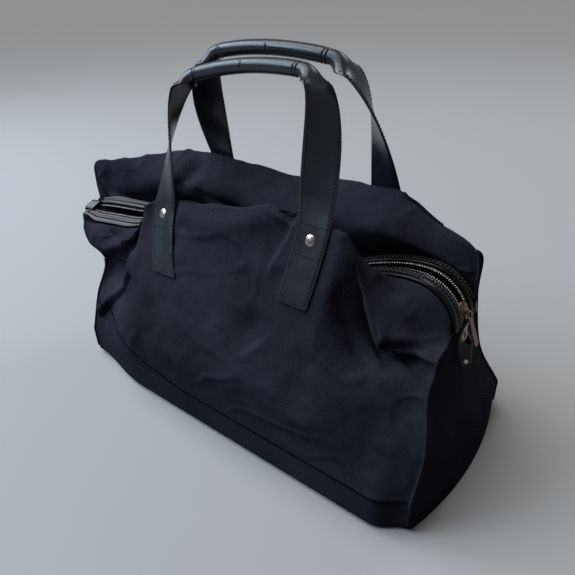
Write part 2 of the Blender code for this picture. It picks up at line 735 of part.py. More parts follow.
def rise_below(end, below):
    """The rise on a gusset's middle line a given length below its upper edge."""
    rise, step, gone = 1.0, 0.005, 0.0
    here = gusset_point(end, 0.5, rise)
    while gone < below:
        rise -= step
        there = gusset_point(end, 0.5, rise)
        gone += (there - here).length
        here = there
    return rise


def build_tab(name, end, gusset):
    """A leather tab sewn over the zip's end, riveted to the gusset below it."""
    length = ZIP_LENGTH if end > 0 else 0.0
    depths = spread(-TAB_HALF_WIDTH, TAB_HALF_WIDTH, 5)
    rows = []
    for below in spread(TAB_LENGTH, 0.0, 9):
        rise = rise_below(end, below)
        taper = 1.0 - TAB_TAPER * smooth((below - TAB_LENGTH * 0.6) / (TAB_LENGTH * 0.4))
        middle = gusset_point(end, 0.5, rise).y
        rows.append([gusset_point(end, across_at(end, middle + y * taper, rise), rise) for y in depths])
    rows.append([zip_point(length, y, TAPE_TOP - TAPE) - Vector((0, 0, SEAM_GAP)) for y in depths])
    if end < 0:
        rows = [row[::-1] for row in rows]
    tab = sheet(name, rows, TAB_THICK, leather(), inward=False, lift=TAB_SEAT)
    rise = rise_below(end, TAB_RIVET)
    point, normal = gusset_point(end, 0.5, rise), gusset_normal(end, 0.5, rise)
    for target in (tab, gusset):
        drill(target, point, normal, RIVET_SHANK + SEAM_GAP, 0.016)
    through = TAB_SEAT + TAB_THICK + RIVET_SEAT + CANVAS + RIVET_PROUD
    rivet(name + "_rivet", point + normal * (TAB_SEAT + TAB_THICK), normal, through)


for old in list(bpy.data.objects):
    bpy.data.objects.remove(old, do_unlink=True)

front_panel, back_panel = build_walls()
left_gusset = build_gusset("left_gusset", -1)
right_gusset = build_gusset("right_gusset", 1)
build_base()
build_tab("left_zip_tab", -1, left_gusset)
build_tab("right_zip_tab", 1, right_gusset)

for side, label in ((-1, "front"), (1, "back")):
    zip_strip(label + "_zip_trim", side, TRIM_INNER, LIP_Y, 0.0, TRIM, leather())
    build_teeth(label + "_zip_tape", side)

SLIDER_EMPTY = bpy.data.objects.new("slider_axis", None)
PULLER_EMPTY = bpy.data.objects.new("puller_axis", None)
for empty in (SLIDER_EMPTY, PULLER_EMPTY):
    bpy.context.scene.collection.objects.link(empty)
SLIDER_EMPTY.matrix_world = Matrix.Translation(BEND_CENTRE)
PULLER_EMPTY.matrix_world = Matrix.Translation(build_slider()) @ Matrix.Rotation(-PULLER_LEAN, 4, "Y")
build_puller()

for panel, side, spacing, height, label in (
        (front_panel, -1, FRONT_STRAP_X, FRONT_GRIP_HEIGHT, "front"),
        (back_panel, 1, BACK_STRAP_X, BACK_GRIP_HEIGHT, "back")):
    for hand, sign in (("left", -1), ("right", 1)):
        build_strap(f"{label}_{hand}_strap_end", Strap(side, sign * spacing), panel)
    Handle(label, side, spacing, height).build()
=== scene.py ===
"""Weekender bag: the looks of the canvas, leather, zip and nickel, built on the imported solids."""
from math import cos, pi, radians, sin

import bpy
import numpy as np
from mathutils import Matrix, Vector, noise


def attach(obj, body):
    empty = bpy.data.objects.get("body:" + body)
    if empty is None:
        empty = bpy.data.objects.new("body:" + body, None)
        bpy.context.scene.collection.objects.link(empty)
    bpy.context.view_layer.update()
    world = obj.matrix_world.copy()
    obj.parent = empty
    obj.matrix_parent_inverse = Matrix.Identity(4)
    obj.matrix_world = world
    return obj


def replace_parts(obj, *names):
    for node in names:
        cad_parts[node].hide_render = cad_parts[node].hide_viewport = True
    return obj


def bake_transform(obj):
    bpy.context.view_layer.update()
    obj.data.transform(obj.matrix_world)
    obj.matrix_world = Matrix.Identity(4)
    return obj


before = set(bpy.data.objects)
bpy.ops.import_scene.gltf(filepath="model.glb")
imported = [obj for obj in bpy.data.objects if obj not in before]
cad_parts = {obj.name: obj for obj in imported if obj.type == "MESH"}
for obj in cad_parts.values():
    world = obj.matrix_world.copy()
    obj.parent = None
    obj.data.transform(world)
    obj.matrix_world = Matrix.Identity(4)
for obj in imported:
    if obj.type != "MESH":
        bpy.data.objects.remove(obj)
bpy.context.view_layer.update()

# The studio: the camera looks down on the bag's front right corner from about arm's length.
# A cool window lamp at the front left, a left lamp, a rim lamp and soft daylight light it on a pale floor.
VIEW_PLACE = Vector((0.3837, -0.4466, 0.4944))
VIEW_AZIMUTH = radians(39.27)
VIEW_ELEVATION = radians(30.97)
VIEW_ROLL = radians(-2.11)
VIEW_LENS = 34.85
FLOOR_GREY = 0.345
FLOOR_BOUNCE = 0.05
FLOOR_HALF = 30.0
SKY_GREY = (0.55, 0.60, 0.66, 1.0)
SKY_STRENGTH = 0.07
BACKDROP_STRENGTH = 0.44


def placed(name, data):
    """A new object in the scene."""
    made = bpy.data.objects.new(name, data)
    bpy.context.scene.collection.objects.link(made)
    return made


behind = Vector((sin(VIEW_AZIMUTH) * cos(VIEW_ELEVATION),
                 -cos(VIEW_AZIMUTH) * cos(VIEW_ELEVATION), sin(VIEW_ELEVATION)))
level = Vector((cos(VIEW_AZIMUTH), sin(VIEW_AZIMUTH), 0.0))
upright = behind.cross(level)
view_right = level * cos(VIEW_ROLL) + upright * sin(VIEW_ROLL)
view_up = upright * cos(VIEW_ROLL) - level * sin(VIEW_ROLL)
view = bpy.data.cameras.new("view")
view.lens = VIEW_LENS
camera = placed("camera", view)
camera.matrix_world = (Matrix.Translation(VIEW_PLACE)
                       @ Matrix((view_right, view_up, behind)).transposed().to_4x4())
bpy.context.scene.camera = camera
bpy.context.scene.view_settings.view_transform = "Standard"


def soft_lamp(name, place, target, size, power, colour):
    light = bpy.data.lights.new(name, "AREA")
    light.shape = "DISK"
    light.size = size
    light.energy = power
    light.color = colour
    lamp = placed(name, light)
    lamp.location = place
    lamp.rotation_euler = (Vector(target) - Vector(place)).to_track_quat("-Z", "Y").to_euler()


soft_lamp("window_lamp", (-1.8, -1.9, 2.1), (0, 0, 0.25), 1.5, 54, (0.60, 0.78, 1.0))
soft_lamp("left_lamp", (-1.7, -0.3, 1.4), (-0.1, 0, 0.2), 1.1, 22, (0.76, 0.88, 1.0))
soft_lamp("rim_lamp", (0.2, 1.9, 1.9), (0, 0, 0.25), 1.0, 10, (0.97, 0.98, 1.0))
daylight = bpy.data.lights.new("daylight", "SUN")
daylight.energy = 2.3
daylight.angle = radians(50)
daylight_lamp = placed("daylight", daylight)
daylight_lamp.rotation_euler = Vector((0.40, 0.16, -1.0)).to_track_quat("-Z", "Y").to_euler()


def add_node(tree, kind, inputs=None, **settings):
    """A node with its settings; each input takes a plain value or a link from another node's output."""
    made = tree.nodes.new(kind)
    for label, value in settings.items():
        setattr(made, label, value)
    for label, value in (inputs or {}).items():
        if isinstance(value, bpy.types.NodeSocket):
            tree.links.new(value, made.inputs[label])
        else:
            made.inputs[label].default_value = value
    return made


def seen_strength(tree, unseen, seen):
    """A value for rays that light the bag, and another for rays that show the studio."""
    ray = add_node(tree, "ShaderNodeLightPath")
    shown = ray.outputs["Is Camera Ray"]
    for kind in ("Is Glossy Ray", "Is Transmission Ray"):
        either = add_node(tree, "ShaderNodeMath", {0: shown, 1: ray.outputs[kind]}, operation="MAXIMUM")
        shown = either.outputs[0]
    spread = add_node(tree, "ShaderNodeMapRange", {"To Min": unseen, "To Max": seen, "Value": shown})
    return spread.outputs["Result"]


world = bpy.data.worlds.new("studio")
world.use_nodes = True
sky = world.node_tree.nodes["Background"]
sky.inputs["Color"].default_value = SKY_GREY
sky_light = seen_strength(world.node_tree, SKY_STRENGTH, BACKDROP_STRENGTH)
world.node_tree.links.new(sky_light, sky.inputs["Strength"])
bpy.context.scene.world = world

floor_mesh = bpy.data.meshes.new("floor")
floor_mesh.from_pydata([(-FLOOR_HALF, -FLOOR_HALF, 0), (FLOOR_HALF, -FLOOR_HALF, 0),
                        (FLOOR_HALF, FLOOR_HALF, 0), (-FLOOR_HALF, FLOOR_HALF, 0)], [], [(0, 1, 2, 3)])
floor = placed("floor", floor_mesh)
floor_finish = bpy.data.materials.new("floor_paint")
floor_finish.use_nodes = True
paint = floor_finish.node_tree.nodes["Principled BSDF"]
paint.inputs["Roughness"].default_value = 0.9
grey = seen_strength(floor_finish.node_tree, FLOOR_BOUNCE, FLOOR_GREY)
tone = add_node(floor_finish.node_tree, "ShaderNodeCombineColor",
                {"Red": grey, "Green": grey, "Blue": grey})
floor_finish.node_tree.links.new(tone.outputs["Color"], paint.inputs["Base Color"])
floor_mesh.materials.append(floor_finish)

# Canvas body: a front and a back panel, two end gussets and a bottom piece with its bands.
# Plain-woven cotton, dyed navy black, sewn along the ends and the band, and slouching empty.
BASE_HALF_LENGTH = 0.250
BASE_HALF_DEPTH = 0.129
BAND_TOP = 0.042
CORNER_DEPTH = 0.111
BELLY_END_DEPTH = 0.097
BASE_ROUND = 0.010
END_BULGE = 0.016
END_DRAW_IN = {-1: 0.016, 1: 0.0}
FRONT_CREST = 0.264
CREST_SLOPE = 0.096
BACK_CREST = 0.284
EAR_CREST = 0.176
BACK_CORNER = 0.251
CANVAS_THICK = 0.0014
BAND_HOLDS = (0.54, 0.86)
FRONT_HOLDS = (0.46, 0.53)
BACK_HOLDS = (0.30, 0.57)
ZIP_TOP = 0.230
ZIP_LEFT = -0.314
ZIP_RIGHT = 0.239
ZIP_BEND = 0.048
ZIP_BEND_ANGLE = radians(84)
WING_START = -0.090
WING_FALL = 0.150
WING_DROP = 0.040
WING_FORWARD = 0.035
WING_TILT = 0.42
WING_PINCH = 0.34
WING_PINCH_LENGTH = 0.030
ZIP_SAG = 0.048
ZIP_SAG_FORWARD = 0.030
ZIP_SAG_REACH = (0.180, 0.190)
ZIP_SAG_X = 0.0
TRIM_OUTER = 0.0255
LIP_OVERLAP = 0.0008
LIP_UNDER = -0.0026
LAST_RING = 6
CREASE_STRETCH = (0.8, 1.0, 1.3)
CREASE_HEIGHT = 0.0022
STRAP_SPACING = {-1: 0.106, 1: 0.118}
UNDER_STRAP = 0.019
UNDER_STRAP_FADE = 0.012
UNDER_STRAP_RINGS = (1.7, 3.9)
RING_FADE = 0.4
WRINKLES = (dict(height=0.0045, size=0.085, seed=1), dict(height=0.0026, size=0.034, seed=2),
            dict(height=0.0008, size=0.014, seed=4))
DIP_X = -0.030
DIP_SPREAD = 0.112
SWELL_X = 0.066
SWELL_SPREAD = (0.060, 0.030)
TIP_SHARE = 0.79
TIP_SPREAD = 0.10
CORNER_SHARE = 0.90
CORNER_CUT = 0.96
CREST_FALLS = (0.70, 0.82)
CREST_HOLDS = (0.46, 0.53)
INNER_HOLDS = (0.46, 0.51)
INNER_FALLS = (0.70, 0.93)
BEND_CENTRE_X = ZIP_RIGHT - ZIP_BEND * sin(ZIP_BEND_ANGLE)
BEND_CENTRE_Z = ZIP_TOP - ZIP_BEND
BEND_START = BEND_CENTRE_X - ZIP_LEFT
ZIP_LENGTH = BEND_START + ZIP_BEND * ZIP_BEND_ANGLE


def ease(t):
    t = np.clip(t, 0.0, 1.0)
    return t * t * (3.0 - 2.0 * t)


def zip_line(length, y, rise=0.0):
    """Points of the zip at lengths from its left end, across it by y, raised along its normal."""
    length, y, rise = np.broadcast_arrays(*(np.asarray(v, float) for v in (length, y, rise)))
    angle = np.maximum(0.0, length - BEND_START) / ZIP_BEND
    x = ZIP_LEFT + np.minimum(length, BEND_START)
    wing = np.maximum(0.0, WING_START - x)
    sag = ease(1 - np.abs(x - ZIP_SAG_X) / np.where(x < ZIP_SAG_X, *ZIP_SAG_REACH))
    forward = WING_FORWARD * (wing / (WING_START - ZIP_LEFT)) ** 2 + ZIP_SAG_FORWARD * sag
    y = y * (1 - WING_PINCH * ease(1 - length / WING_PINCH_LENGTH))
    drop = (WING_DROP - WING_TILT * y) * ease(wing / WING_FALL)
    drop = drop + ZIP_SAG * sag
    turn = ZIP_BEND + rise
    return np.stack((x + turn * np.sin(angle), y - forward,
                     BEND_CENTRE_Z - drop + turn * np.cos(angle)), -1)


def lip_length(share):
    middle = -ZIP_LEFT
    return np.where(share < 0, middle * (1 + share), middle + (ZIP_LENGTH - middle) * share)


def ring_line(share, left, right, depth, height, holds, falls=(1.0, 1.0), slope=0.0, tip=0.0, corner=0.0,
              dip=0.0, swell=0.0):
    """One ring round a wall: full height between the holds, then falling to an end point.

    The falls are shares where the end's height is reached; a tip pushes the right ear's fold out,
    a corner rounds off the last of the crest, a dip lets it sink between the straps,
    and a swell lifts it beside the right strap.
    """
    left_side = share < 0
    end = np.where(left_side[..., None], np.array(left), np.array(right))
    hold = np.where(left_side, holds[0], holds[1])
    fall = np.where(left_side, falls[0], falls[1])
    raised = 1.0 - ease((np.abs(share) - hold) / (fall - hold))
    x = end[..., 0] * np.abs(share)
    pushed = tip * np.exp(-(((share - TIP_SHARE) / TIP_SPREAD) ** 2))
    y = end[..., 1] + (depth - end[..., 1]) * raised - pushed
    z = end[..., 2] + (height + slope * x - end[..., 2]) * raised
    rounding = np.clip((np.abs(share) - CORNER_SHARE) / (1 - CORNER_SHARE), 0, 1)
    z = z - dip * np.exp(-(((x - DIP_X) / DIP_SPREAD) ** 2))
    z = z + swell * np.exp(-(((x - SWELL_X) / np.where(x < SWELL_X, *SWELL_SPREAD)) ** 2))
    return np.stack((x, y, z - corner * (1 - np.sqrt(1 - rounding**2 * CORNER_CUT))), -1)


FRONT_RINGS = (
    dict(left=(-BASE_HALF_LENGTH, -CORNER_DEPTH, BAND_TOP),
         right=(BASE_HALF_LENGTH, -CORNER_DEPTH, BAND_TOP),
         depth=-BASE_HALF_DEPTH, height=BAND_TOP, holds=BAND_HOLDS),
    dict(left=(-0.242, -BELLY_END_DEPTH, 0.097), right=(0.252, -BELLY_END_DEPTH, 0.097),
         depth=-BASE_HALF_DEPTH - 0.002, height=0.105, holds=FRONT_HOLDS),
    dict(left=(-0.245, -0.074, 0.136), right=(0.241, -0.080, 0.148),
         depth=-0.102, height=0.178, holds=FRONT_HOLDS),
    dict(left=(ZIP_LEFT + 0.038, -0.074, EAR_CREST - 0.020), right=(0.238, -0.063, EAR_CREST - 0.014),
         depth=-0.068, height=FRONT_CREST - 0.013, holds=CREST_HOLDS, falls=CREST_FALLS, slope=CREST_SLOPE,
         tip=-0.012, swell=0.011),
    dict(left=(ZIP_LEFT + 0.032, -0.074, EAR_CREST - 0.002), right=(0.238, -0.058, EAR_CREST),
         depth=-0.060, height=FRONT_CREST, holds=CREST_HOLDS, falls=CREST_FALLS, slope=CREST_SLOPE,
         tip=0.020, swell=0.012),
    dict(left=(ZIP_LEFT + 0.026, -0.068, 0.184), right=(ZIP_RIGHT, -0.042, EAR_CREST + 0.006),
         depth=-0.050, height=FRONT_CREST - 0.012, holds=INNER_HOLDS, falls=INNER_FALLS,
         slope=CREST_SLOPE / 2, tip=0.012, swell=0.009),
)
BACK_RINGS = (
    dict(left=(-BASE_HALF_LENGTH, CORNER_DEPTH, BAND_TOP),
         right=(BASE_HALF_LENGTH, CORNER_DEPTH, BAND_TOP),
         depth=BASE_HALF_DEPTH, height=BAND_TOP, holds=BAND_HOLDS),
    dict(left=(-0.242, BELLY_END_DEPTH, 0.097), right=(0.228, BELLY_END_DEPTH - 0.006, 0.097),
         depth=BASE_HALF_DEPTH + 0.002, height=0.105, holds=BACK_HOLDS),
    dict(left=(-0.264, 0.060, 0.176), right=(0.224, 0.064, 0.178),
         depth=0.094, height=0.190, holds=BACK_HOLDS),
    dict(left=(ZIP_LEFT - 0.014, 0.016, BACK_CORNER - 0.024), right=(0.231, 0.039, BACK_CORNER - 0.016),
         depth=0.050, height=BACK_CREST - 0.013, holds=BACK_HOLDS, dip=0.012),
    dict(left=(ZIP_LEFT - 0.029, 0.003, BACK_CORNER - 0.006), right=(0.224, 0.034, BACK_CORNER),
         depth=0.040, height=BACK_CREST, holds=BACK_HOLDS, corner=0.010, dip=0.013),
    dict(left=(ZIP_LEFT - 0.030, 0.000, BACK_CORNER - 0.042), right=(0.230, 0.032, BACK_CORNER - 0.020),
         depth=0.002, height=BACK_CREST - 0.028, holds=BACK_HOLDS, dip=0.010),
)


def wall(side, share, ring):
    """Points of the front (side -1) or back (side 1) wall, from the band seam to the zip's lip."""
    share, ring = np.broadcast_arrays(np.asarray(share, float), np.asarray(ring, float))
    rings = FRONT_RINGS if side < 0 else BACK_RINGS
    knots = [ring_line(share, **shape) for shape in rings]
    knots.append(zip_line(lip_length(share), side * (TRIM_OUTER + LIP_OVERLAP), LIP_UNDER))
    knots.insert(0, knots[0] * 2 - knots[1])
    knots.append(knots[-1] * 2 - knots[-2])
    knots = np.stack(knots)
    low = np.clip(ring.astype(int), 0, LAST_RING - 1)
    t = (ring - low)[..., None]
    before, a, b, after = (np.take_along_axis(knots, (low + k)[None, ..., None], 0)[0] for k in range(4))
    out, into = (b - before) / 2, (after - a) / 2
    return (a * (2 * t**3 - 3 * t**2 + 1) + out * (t**3 - 2 * t**2 + t)
            + b * (3 * t**2 - 2 * t**3) + into * (t**3 - t**2))


def unit(vectors):
    return vectors / np.linalg.norm(vectors, axis=-1, keepdims=True)


def lengths_along(line):
    """Lengths along a line of points from its first one."""
    return np.concatenate(((0.0,), np.cumsum(np.linalg.norm(np.diff(line, axis=0), axis=1))))


def facing_of(grid):
    """Unit normals of a grid of points: its rows crossed with its columns."""
    normal = np.cross(np.gradient(grid, axis=1), np.gradient(grid, axis=0))
    return normal / np.maximum(np.linalg.norm(normal, axis=-1, keepdims=True), 1e-12)


def ripple(points, size, seed):
    """Seeded smooth noise at each point, about -1 to 1, with features of a given size."""
    shift = Vector((seed * 7.3, seed * 3.1, seed * 5.7))
    flat = points.reshape(-1, 3) / size
    values = [noise.noise(Vector(p) + shift) for p in flat]
    return np.array(values).reshape(points.shape[:-1])


def mesh_object(name, points, faces, spread, finishes):
    """A smooth mesh object with a UV map in metres, from points, faces and one UV pair per point."""
    mesh = bpy.data.meshes.new(name)
    mesh.from_pydata(points.reshape(-1, 3).tolist(), [], faces)
    loops = np.empty(len(mesh.loops), int)
    mesh.loops.foreach_get("vertex_index", loops)
    mesh.uv_layers.new(name="cloth").data.foreach_set("uv", spread.reshape(-1, 2)[loops].ravel())
    for finish in finishes:
        mesh.materials.append(finish)
    mesh.shade_smooth()
    return placed(name, mesh)


def grid_mesh(name, grid, finishes, thick):
    """A sheet of a given thickness from a grid of points; the last finish is its inner side."""
    high, wide = grid.shape[:2]
    index = np.arange(high * wide).reshape(high, wide)
    faces = np.stack((index[:-1, :-1], index[:-1, 1:], index[1:, 1:], index[1:, :-1]), -1).reshape(-1, 4)
    spread = np.stack(np.meshgrid(lengths_along(grid[high // 2]), lengths_along(grid[:, wide // 2])), -1)
    made = mesh_object(name, grid, faces.tolist(), spread, finishes)
    wallness = made.modifiers.new("thickness", "SOLIDIFY")
    wallness.thickness = thick
    wallness.offset = -1.0
    wallness.material_offset = len(finishes) - 1
    return made


def new_group(name, inputs, outputs):
    """A shader node group with named value inputs and outputs."""
    group = bpy.data.node_groups.new(name, "ShaderNodeTree")
    for label, kind, value in inputs:
        socket = group.interface.new_socket(label, in_out="INPUT", socket_type=kind)
        if value is not None:
            socket.default_value = value
    for label, kind in outputs:
        group.interface.new_socket(label, in_out="OUTPUT", socket_type=kind)
    return group, group.nodes.new("NodeGroupInput"), group.nodes.new("NodeGroupOutput")


def weave_group():
    """Warp and weft threads: a height, and a mask that varies slowly like uneven dye."""
    group, given, result = new_group(
        "canvas_weave",
        [("Along", "NodeSocketVector", None), ("Threads per metre", "NodeSocketFloat", 900.0),
         ("Place", "NodeSocketVector", None)],
        [("Height", "NodeSocketFloat"), ("Dye", "NodeSocketFloat")])
    place = given.outputs["Place"]
    scaled = add_node(group, "ShaderNodeVectorMath",
                      {0: given.outputs["Along"], "Scale": given.outputs["Threads per metre"]},
                      operation="SCALE")
    parts = add_node(group, "ShaderNodeSeparateXYZ", {0: scaled.outputs[0]})
    waves = []
    for axis in ("X", "Y"):
        turn = add_node(group, "ShaderNodeMath", {0: parts.outputs[axis], 1: pi}, operation="MULTIPLY")
        waves.append(add_node(group, "ShaderNodeMath", {0: turn.outputs[0]}, operation="SINE").outputs[0])
    cross = add_node(group, "ShaderNodeMath", {0: waves[0], 1: waves[1]}, operation="MULTIPLY")
    slub = add_node(group, "ShaderNodeTexNoise", {"Vector": place, "Scale": 420.0, "Detail": 3.0})
    mixed = add_node(group, "ShaderNodeMath", {0: cross.outputs[0], 1: 0.5, 2: slub.outputs["Fac"]},
                     operation="MULTIPLY_ADD")
    dye = add_node(group, "ShaderNodeTexNoise",
                   {"Vector": place, "Scale": 9.0, "Detail": 6.0, "Roughness": 0.6})
    group.links.new(mixed.outputs[0], result.inputs["Height"])
    group.links.new(dye.outputs["Fac"], result.inputs["Dye"])
    return group


WEAVE = weave_group()


def new_finish(name, group):
    """A material with one node of a texture group in it, placed by the object's own coordinates."""
    finish = bpy.data.materials.new(name)
    finish.use_nodes = True
    place = add_node(finish.node_tree, "ShaderNodeTexCoord")
    texture = finish.node_tree.nodes.new("ShaderNodeGroup")
    texture.node_tree = group
    finish.node_tree.links.new(place.outputs["Object"], texture.inputs["Place"])
    return finish, finish.node_tree.nodes["Principled BSDF"], texture, place


def tint(finish, shader, mask, low, dark, high, light):
    """Colours a finish from dark to light as a mask goes from low to high."""
    colours = add_node(finish.node_tree, "ShaderNodeValToRGB", {"Fac": mask})
    first, last = colours.color_ramp.elements
    first.position = low
    first.color = (*dark, 1.0)
    last.position = high
    last.color = (*light, 1.0)
    finish.node_tree.links.new(colours.outputs["Color"], shader.inputs["Base Color"])


def dull(finish, shader, mask, smooth, rough, low=0.0, high=1.0):
    """Roughens a finish as a mask goes from low to high."""
    spread = add_node(finish.node_tree, "ShaderNodeMapRange", {
        "Value": mask, "From Min": low, "From Max": high, "To Min": smooth, "To Max": rough})
    finish.node_tree.links.new(spread.outputs["Result"], shader.inputs["Roughness"])


def emboss(finish, shader, height, strength, distance):
    """Raises a finish by a height texture."""
    raised = add_node(finish.node_tree, "ShaderNodeBump",
                      {"Strength": strength, "Distance": distance, "Height": height})
    finish.node_tree.links.new(raised.outputs["Normal"], shader.inputs["Normal"])


def woven(name, dark, light, roughness, threads, bump):
    """A woven cloth finish: dark and light are the dye's range."""
    finish, shader, weave, place = new_finish(name, WEAVE)
    shader.inputs["Specular IOR Level"].default_value = 0.02
    weave.inputs["Threads per metre"].default_value = threads
    finish.node_tree.links.new(place.outputs["UV"], weave.inputs["Along"])
    tone = add_node(finish.node_tree, "ShaderNodeMath",
                    {0: weave.outputs["Height"], 1: 0.55, 2: weave.outputs["Dye"]},
                    operation="MULTIPLY_ADD")
    tint(finish, shader, tone.outputs[0], 0.45, dark, 1.0, light)
    dull(finish, shader, weave.outputs["Dye"], roughness - 0.06, roughness + 0.08)
    emboss(finish, shader, weave.outputs["Height"], bump, 0.0004)
    return finish


navy_canvas = woven("navy_canvas", (0.0092, 0.0094, 0.0136), (0.0325, 0.0330, 0.0455), 0.82, 900.0, 0.70)
dark_lining = woven("dark_lining", (0.006, 0.006, 0.007), (0.012, 0.012, 0.014), 0.9, 1400.0, 0.3)


def path_on(side, *knots):
    """A line of points on a wall through (share, ring) knots."""
    knots = np.array(knots)
    at = np.linspace(0, len(knots) - 1, 60)
    order = np.arange(len(knots))
    return wall(side, np.interp(at, order, knots[:, 0]), np.interp(at, order, knots[:, 1]))


def away_from(points, line):
    """How far each point lies from a line of points, and which of them is nearest."""
    gap = np.stack([((points - p) ** 2).sum(-1) for p in line], -1)
    near = gap.argmin(-1)
    return np.sqrt(np.take_along_axis(gap, near[..., None], -1)[..., 0]), near


def fold(points, facing, line, width, right, left, fade_in=0.15, fade_out=0.2):
    """A fold along a line: how far the cloth stands out on the line's right and left hand."""
    away, near = away_from(points, line)
    hand = (np.cross(facing, np.gradient(line, axis=0)[near]) * (points - line[near])).sum(-1)
    share = near / (len(line) - 1)
    strength = ease(share / fade_in) * ease((1 - share) / fade_out)
    reach = away / width
    return strength * np.where(hand > 0, right, left) * reach * np.exp(1 - reach)


def crease(points, line, width, height, fade_in=0.2, fade_out=0.3):
    """A narrow crease (height below zero) or ridge along a line."""
    away, near = away_from(points, line)
    share = near / (len(line) - 1)
    return height * ease(share / fade_in) * ease((1 - share) / fade_out) * np.exp(-((away / width) ** 2))


def front_drape(ring, points, facing):
    """The front panel's folds: the right ear's ridge, the left wing's pouch and the strap's pulls."""
    ear_valley = path_on(-1, (0.64, 2.85), (0.69, 2.8), (0.76, 2.75), (0.84, 2.75))
    below_ridge = 1 - ease((ring - 3.45) / 0.4)
    out = crease(points, ear_valley, 0.012, -0.006, 0.5, 0.3) * below_ridge
    long_valley = path_on(-1, (0.585, 2.75), (0.62, 2.55), (0.69, 2.35), (0.77, 1.95), (0.81, 1.42))
    out += crease(points, long_valley, 0.015, -0.010, 0.3, 0.45) * below_ridge
    ear_hem = path_on(-1, (0.785, 4.15), (0.81, 4.43), (0.855, 4.57), (0.96, 4.68))
    out += fold(points, facing, ear_hem, 0.006, 0.003, -0.007, 0.15, 0.3)
    ear_pleat = path_on(-1, (0.785, 3.7), (0.82, 3.1), (0.86, 2.6), (0.98, 2.6))
    out += crease(points, ear_pleat, 0.008, 0.0045, 0.4, 0.3)
    roof_dent = path_on(-1, (0.66, 5.3), (0.715, 5.45), (0.78, 5.6))
    out += crease(points, roof_dent, 0.010, -0.006, 0.3, 0.4)
    wing_roll = path_on(-1, (-0.44, 3.5), (-0.50, 3.1), (-0.58, 2.75), (-0.66, 2.35))
    out += fold(points, facing, wing_roll, 0.011, 0.004, -0.013, 0.12, 0.08)
    wing_hem = path_on(-1, (-0.66, 2.35), (-0.76, 2.3), (-0.90, 2.55), (-0.99, 3.3))
    out += fold(points, facing, wing_hem, 0.011, -0.010, 0.006, 0.08, 0.2)
    lobe_rim = path_on(-1, (-0.46, 3.15), (-0.515, 3.40), (-0.575, 3.80), (-0.655, 4.40), (-0.73, 4.0),
                       (-0.805, 3.45), (-0.90, 3.5))
    out += crease(points, lobe_rim, 0.007, 0.008, 0.1, 0.3)
    lobe_dish = path_on(-1, (-0.62, 5.0), (-0.70, 5.2), (-0.80, 4.9))
    out += crease(points, lobe_dish, 0.014, -0.007, 0.2, 0.3)
    corner_fold = path_on(-1, (-0.60, 1.85), (-0.64, 1.60), (-0.845, 0.98), (-0.98, 0.28))
    out += fold(points, facing, corner_fold, 0.009, -0.003, 0.004, 0.15, 0.1)
    out += crease(points, corner_fold, 0.0030, -0.005, 0.15, 0.1)
    strap_pull = path_on(-1, (0.37, 3.5), (0.325, 2.87), (0.275, 2.57), (0.245, 2.35))
    out += fold(points, facing, strap_pull, 0.004, 0.0018, -0.0022, 0.05, 0.3)
    swag = path_on(-1, (-0.40, 3.3), (-0.22, 2.95), (0.0, 2.95), (0.33, 3.25))
    out += crease(points, swag, 0.012, 0.005, 0.15, 0.15)
    dimple = path_on(-1, (0.20, 2.1), (0.23, 1.75), (0.27, 1.62))
    out += crease(points, dimple, 0.016, -0.006, 0.4, 0.2)
    return out


def back_drape(points, facing):
    """The back panel's folds: a dip beside the left strap and a roll below the crest."""
    strap_dip = path_on(1, (-0.39, 4.2), (-0.425, 4.8), (-0.47, 5.18), (-0.53, 5.58))
    out = crease(points, strap_dip, 0.014, -0.010, 0.2, 0.3)
    crest_roll = path_on(1, (-0.40, 5.2), (-0.30, 5.25), (-0.175, 5.2), (0.05, 5.25), (0.25, 5.15))
    out += fold(points, facing, crest_roll, 0.010, 0.004, -0.004, 0.15, 0.3)
    return out


def drape(side, share, ring, points, facing):
    """How far the cloth stands out of the plain wall, in metres: folds, dents and fine wrinkles."""
    beside = np.abs(np.abs(points[..., 0]) - STRAP_SPACING[side])
    low, high = UNDER_STRAP_RINGS
    under = 1 - ease((beside - UNDER_STRAP) / UNDER_STRAP_FADE)
    under = under * ease((ring - low) / RING_FADE) * (1 - ease((ring - high) / RING_FADE))
    edges = ease(ring / 0.5) * ease((LAST_RING - ring) / 0.8) * ease((1 - np.abs(share)) / 0.04)
    out = sum(kind["height"] * ripple(points, kind["size"], kind["seed"]) for kind in WRINKLES)
    creased = np.maximum(0.0, 1 - 7 * np.abs(ripple(points * CREASE_STRETCH, 0.055, 5)))
    out = out + CREASE_HEIGHT * creased * (0.5 + ripple(points, 0.07, 6))
    out = out + (front_drape(ring, points, facing) if side < 0 else back_drape(points, facing))
    return out * edges * (1 - under)


def draped(side, share, ring):
    """Points on the finished cloth of a wall, for what is sewn along it."""
    step = 0.004
    points = wall(side, share, ring)
    along = (wall(side, share + step, ring) - wall(side, share - step, ring)) * -side
    up = wall(side, share, ring + step) - points
    facing = unit(np.cross(along, up))
    return points + facing * drape(side, share, ring, points, facing)[..., None]


def sewn_wall(name, side):
    share = np.linspace(-1, 1, 310)[None, :]
    ring = np.linspace(0, LAST_RING, 150)[:, None]
    if side > 0:
        share = share[:, ::-1]
    grid = wall(side, share, ring)
    share, ring = np.broadcast_arrays(share, ring)
    facing = facing_of(grid)
    grid = grid + facing * drape(side, share, ring, grid, facing)[..., None]
    panel = grid_mesh(name, grid, (navy_canvas, dark_lining), CANVAS_THICK)
    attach(panel, "bag")
    return panel


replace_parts(sewn_wall("canvas_front", -1), "front_panel")
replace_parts(sewn_wall("canvas_back", 1), "back_panel")

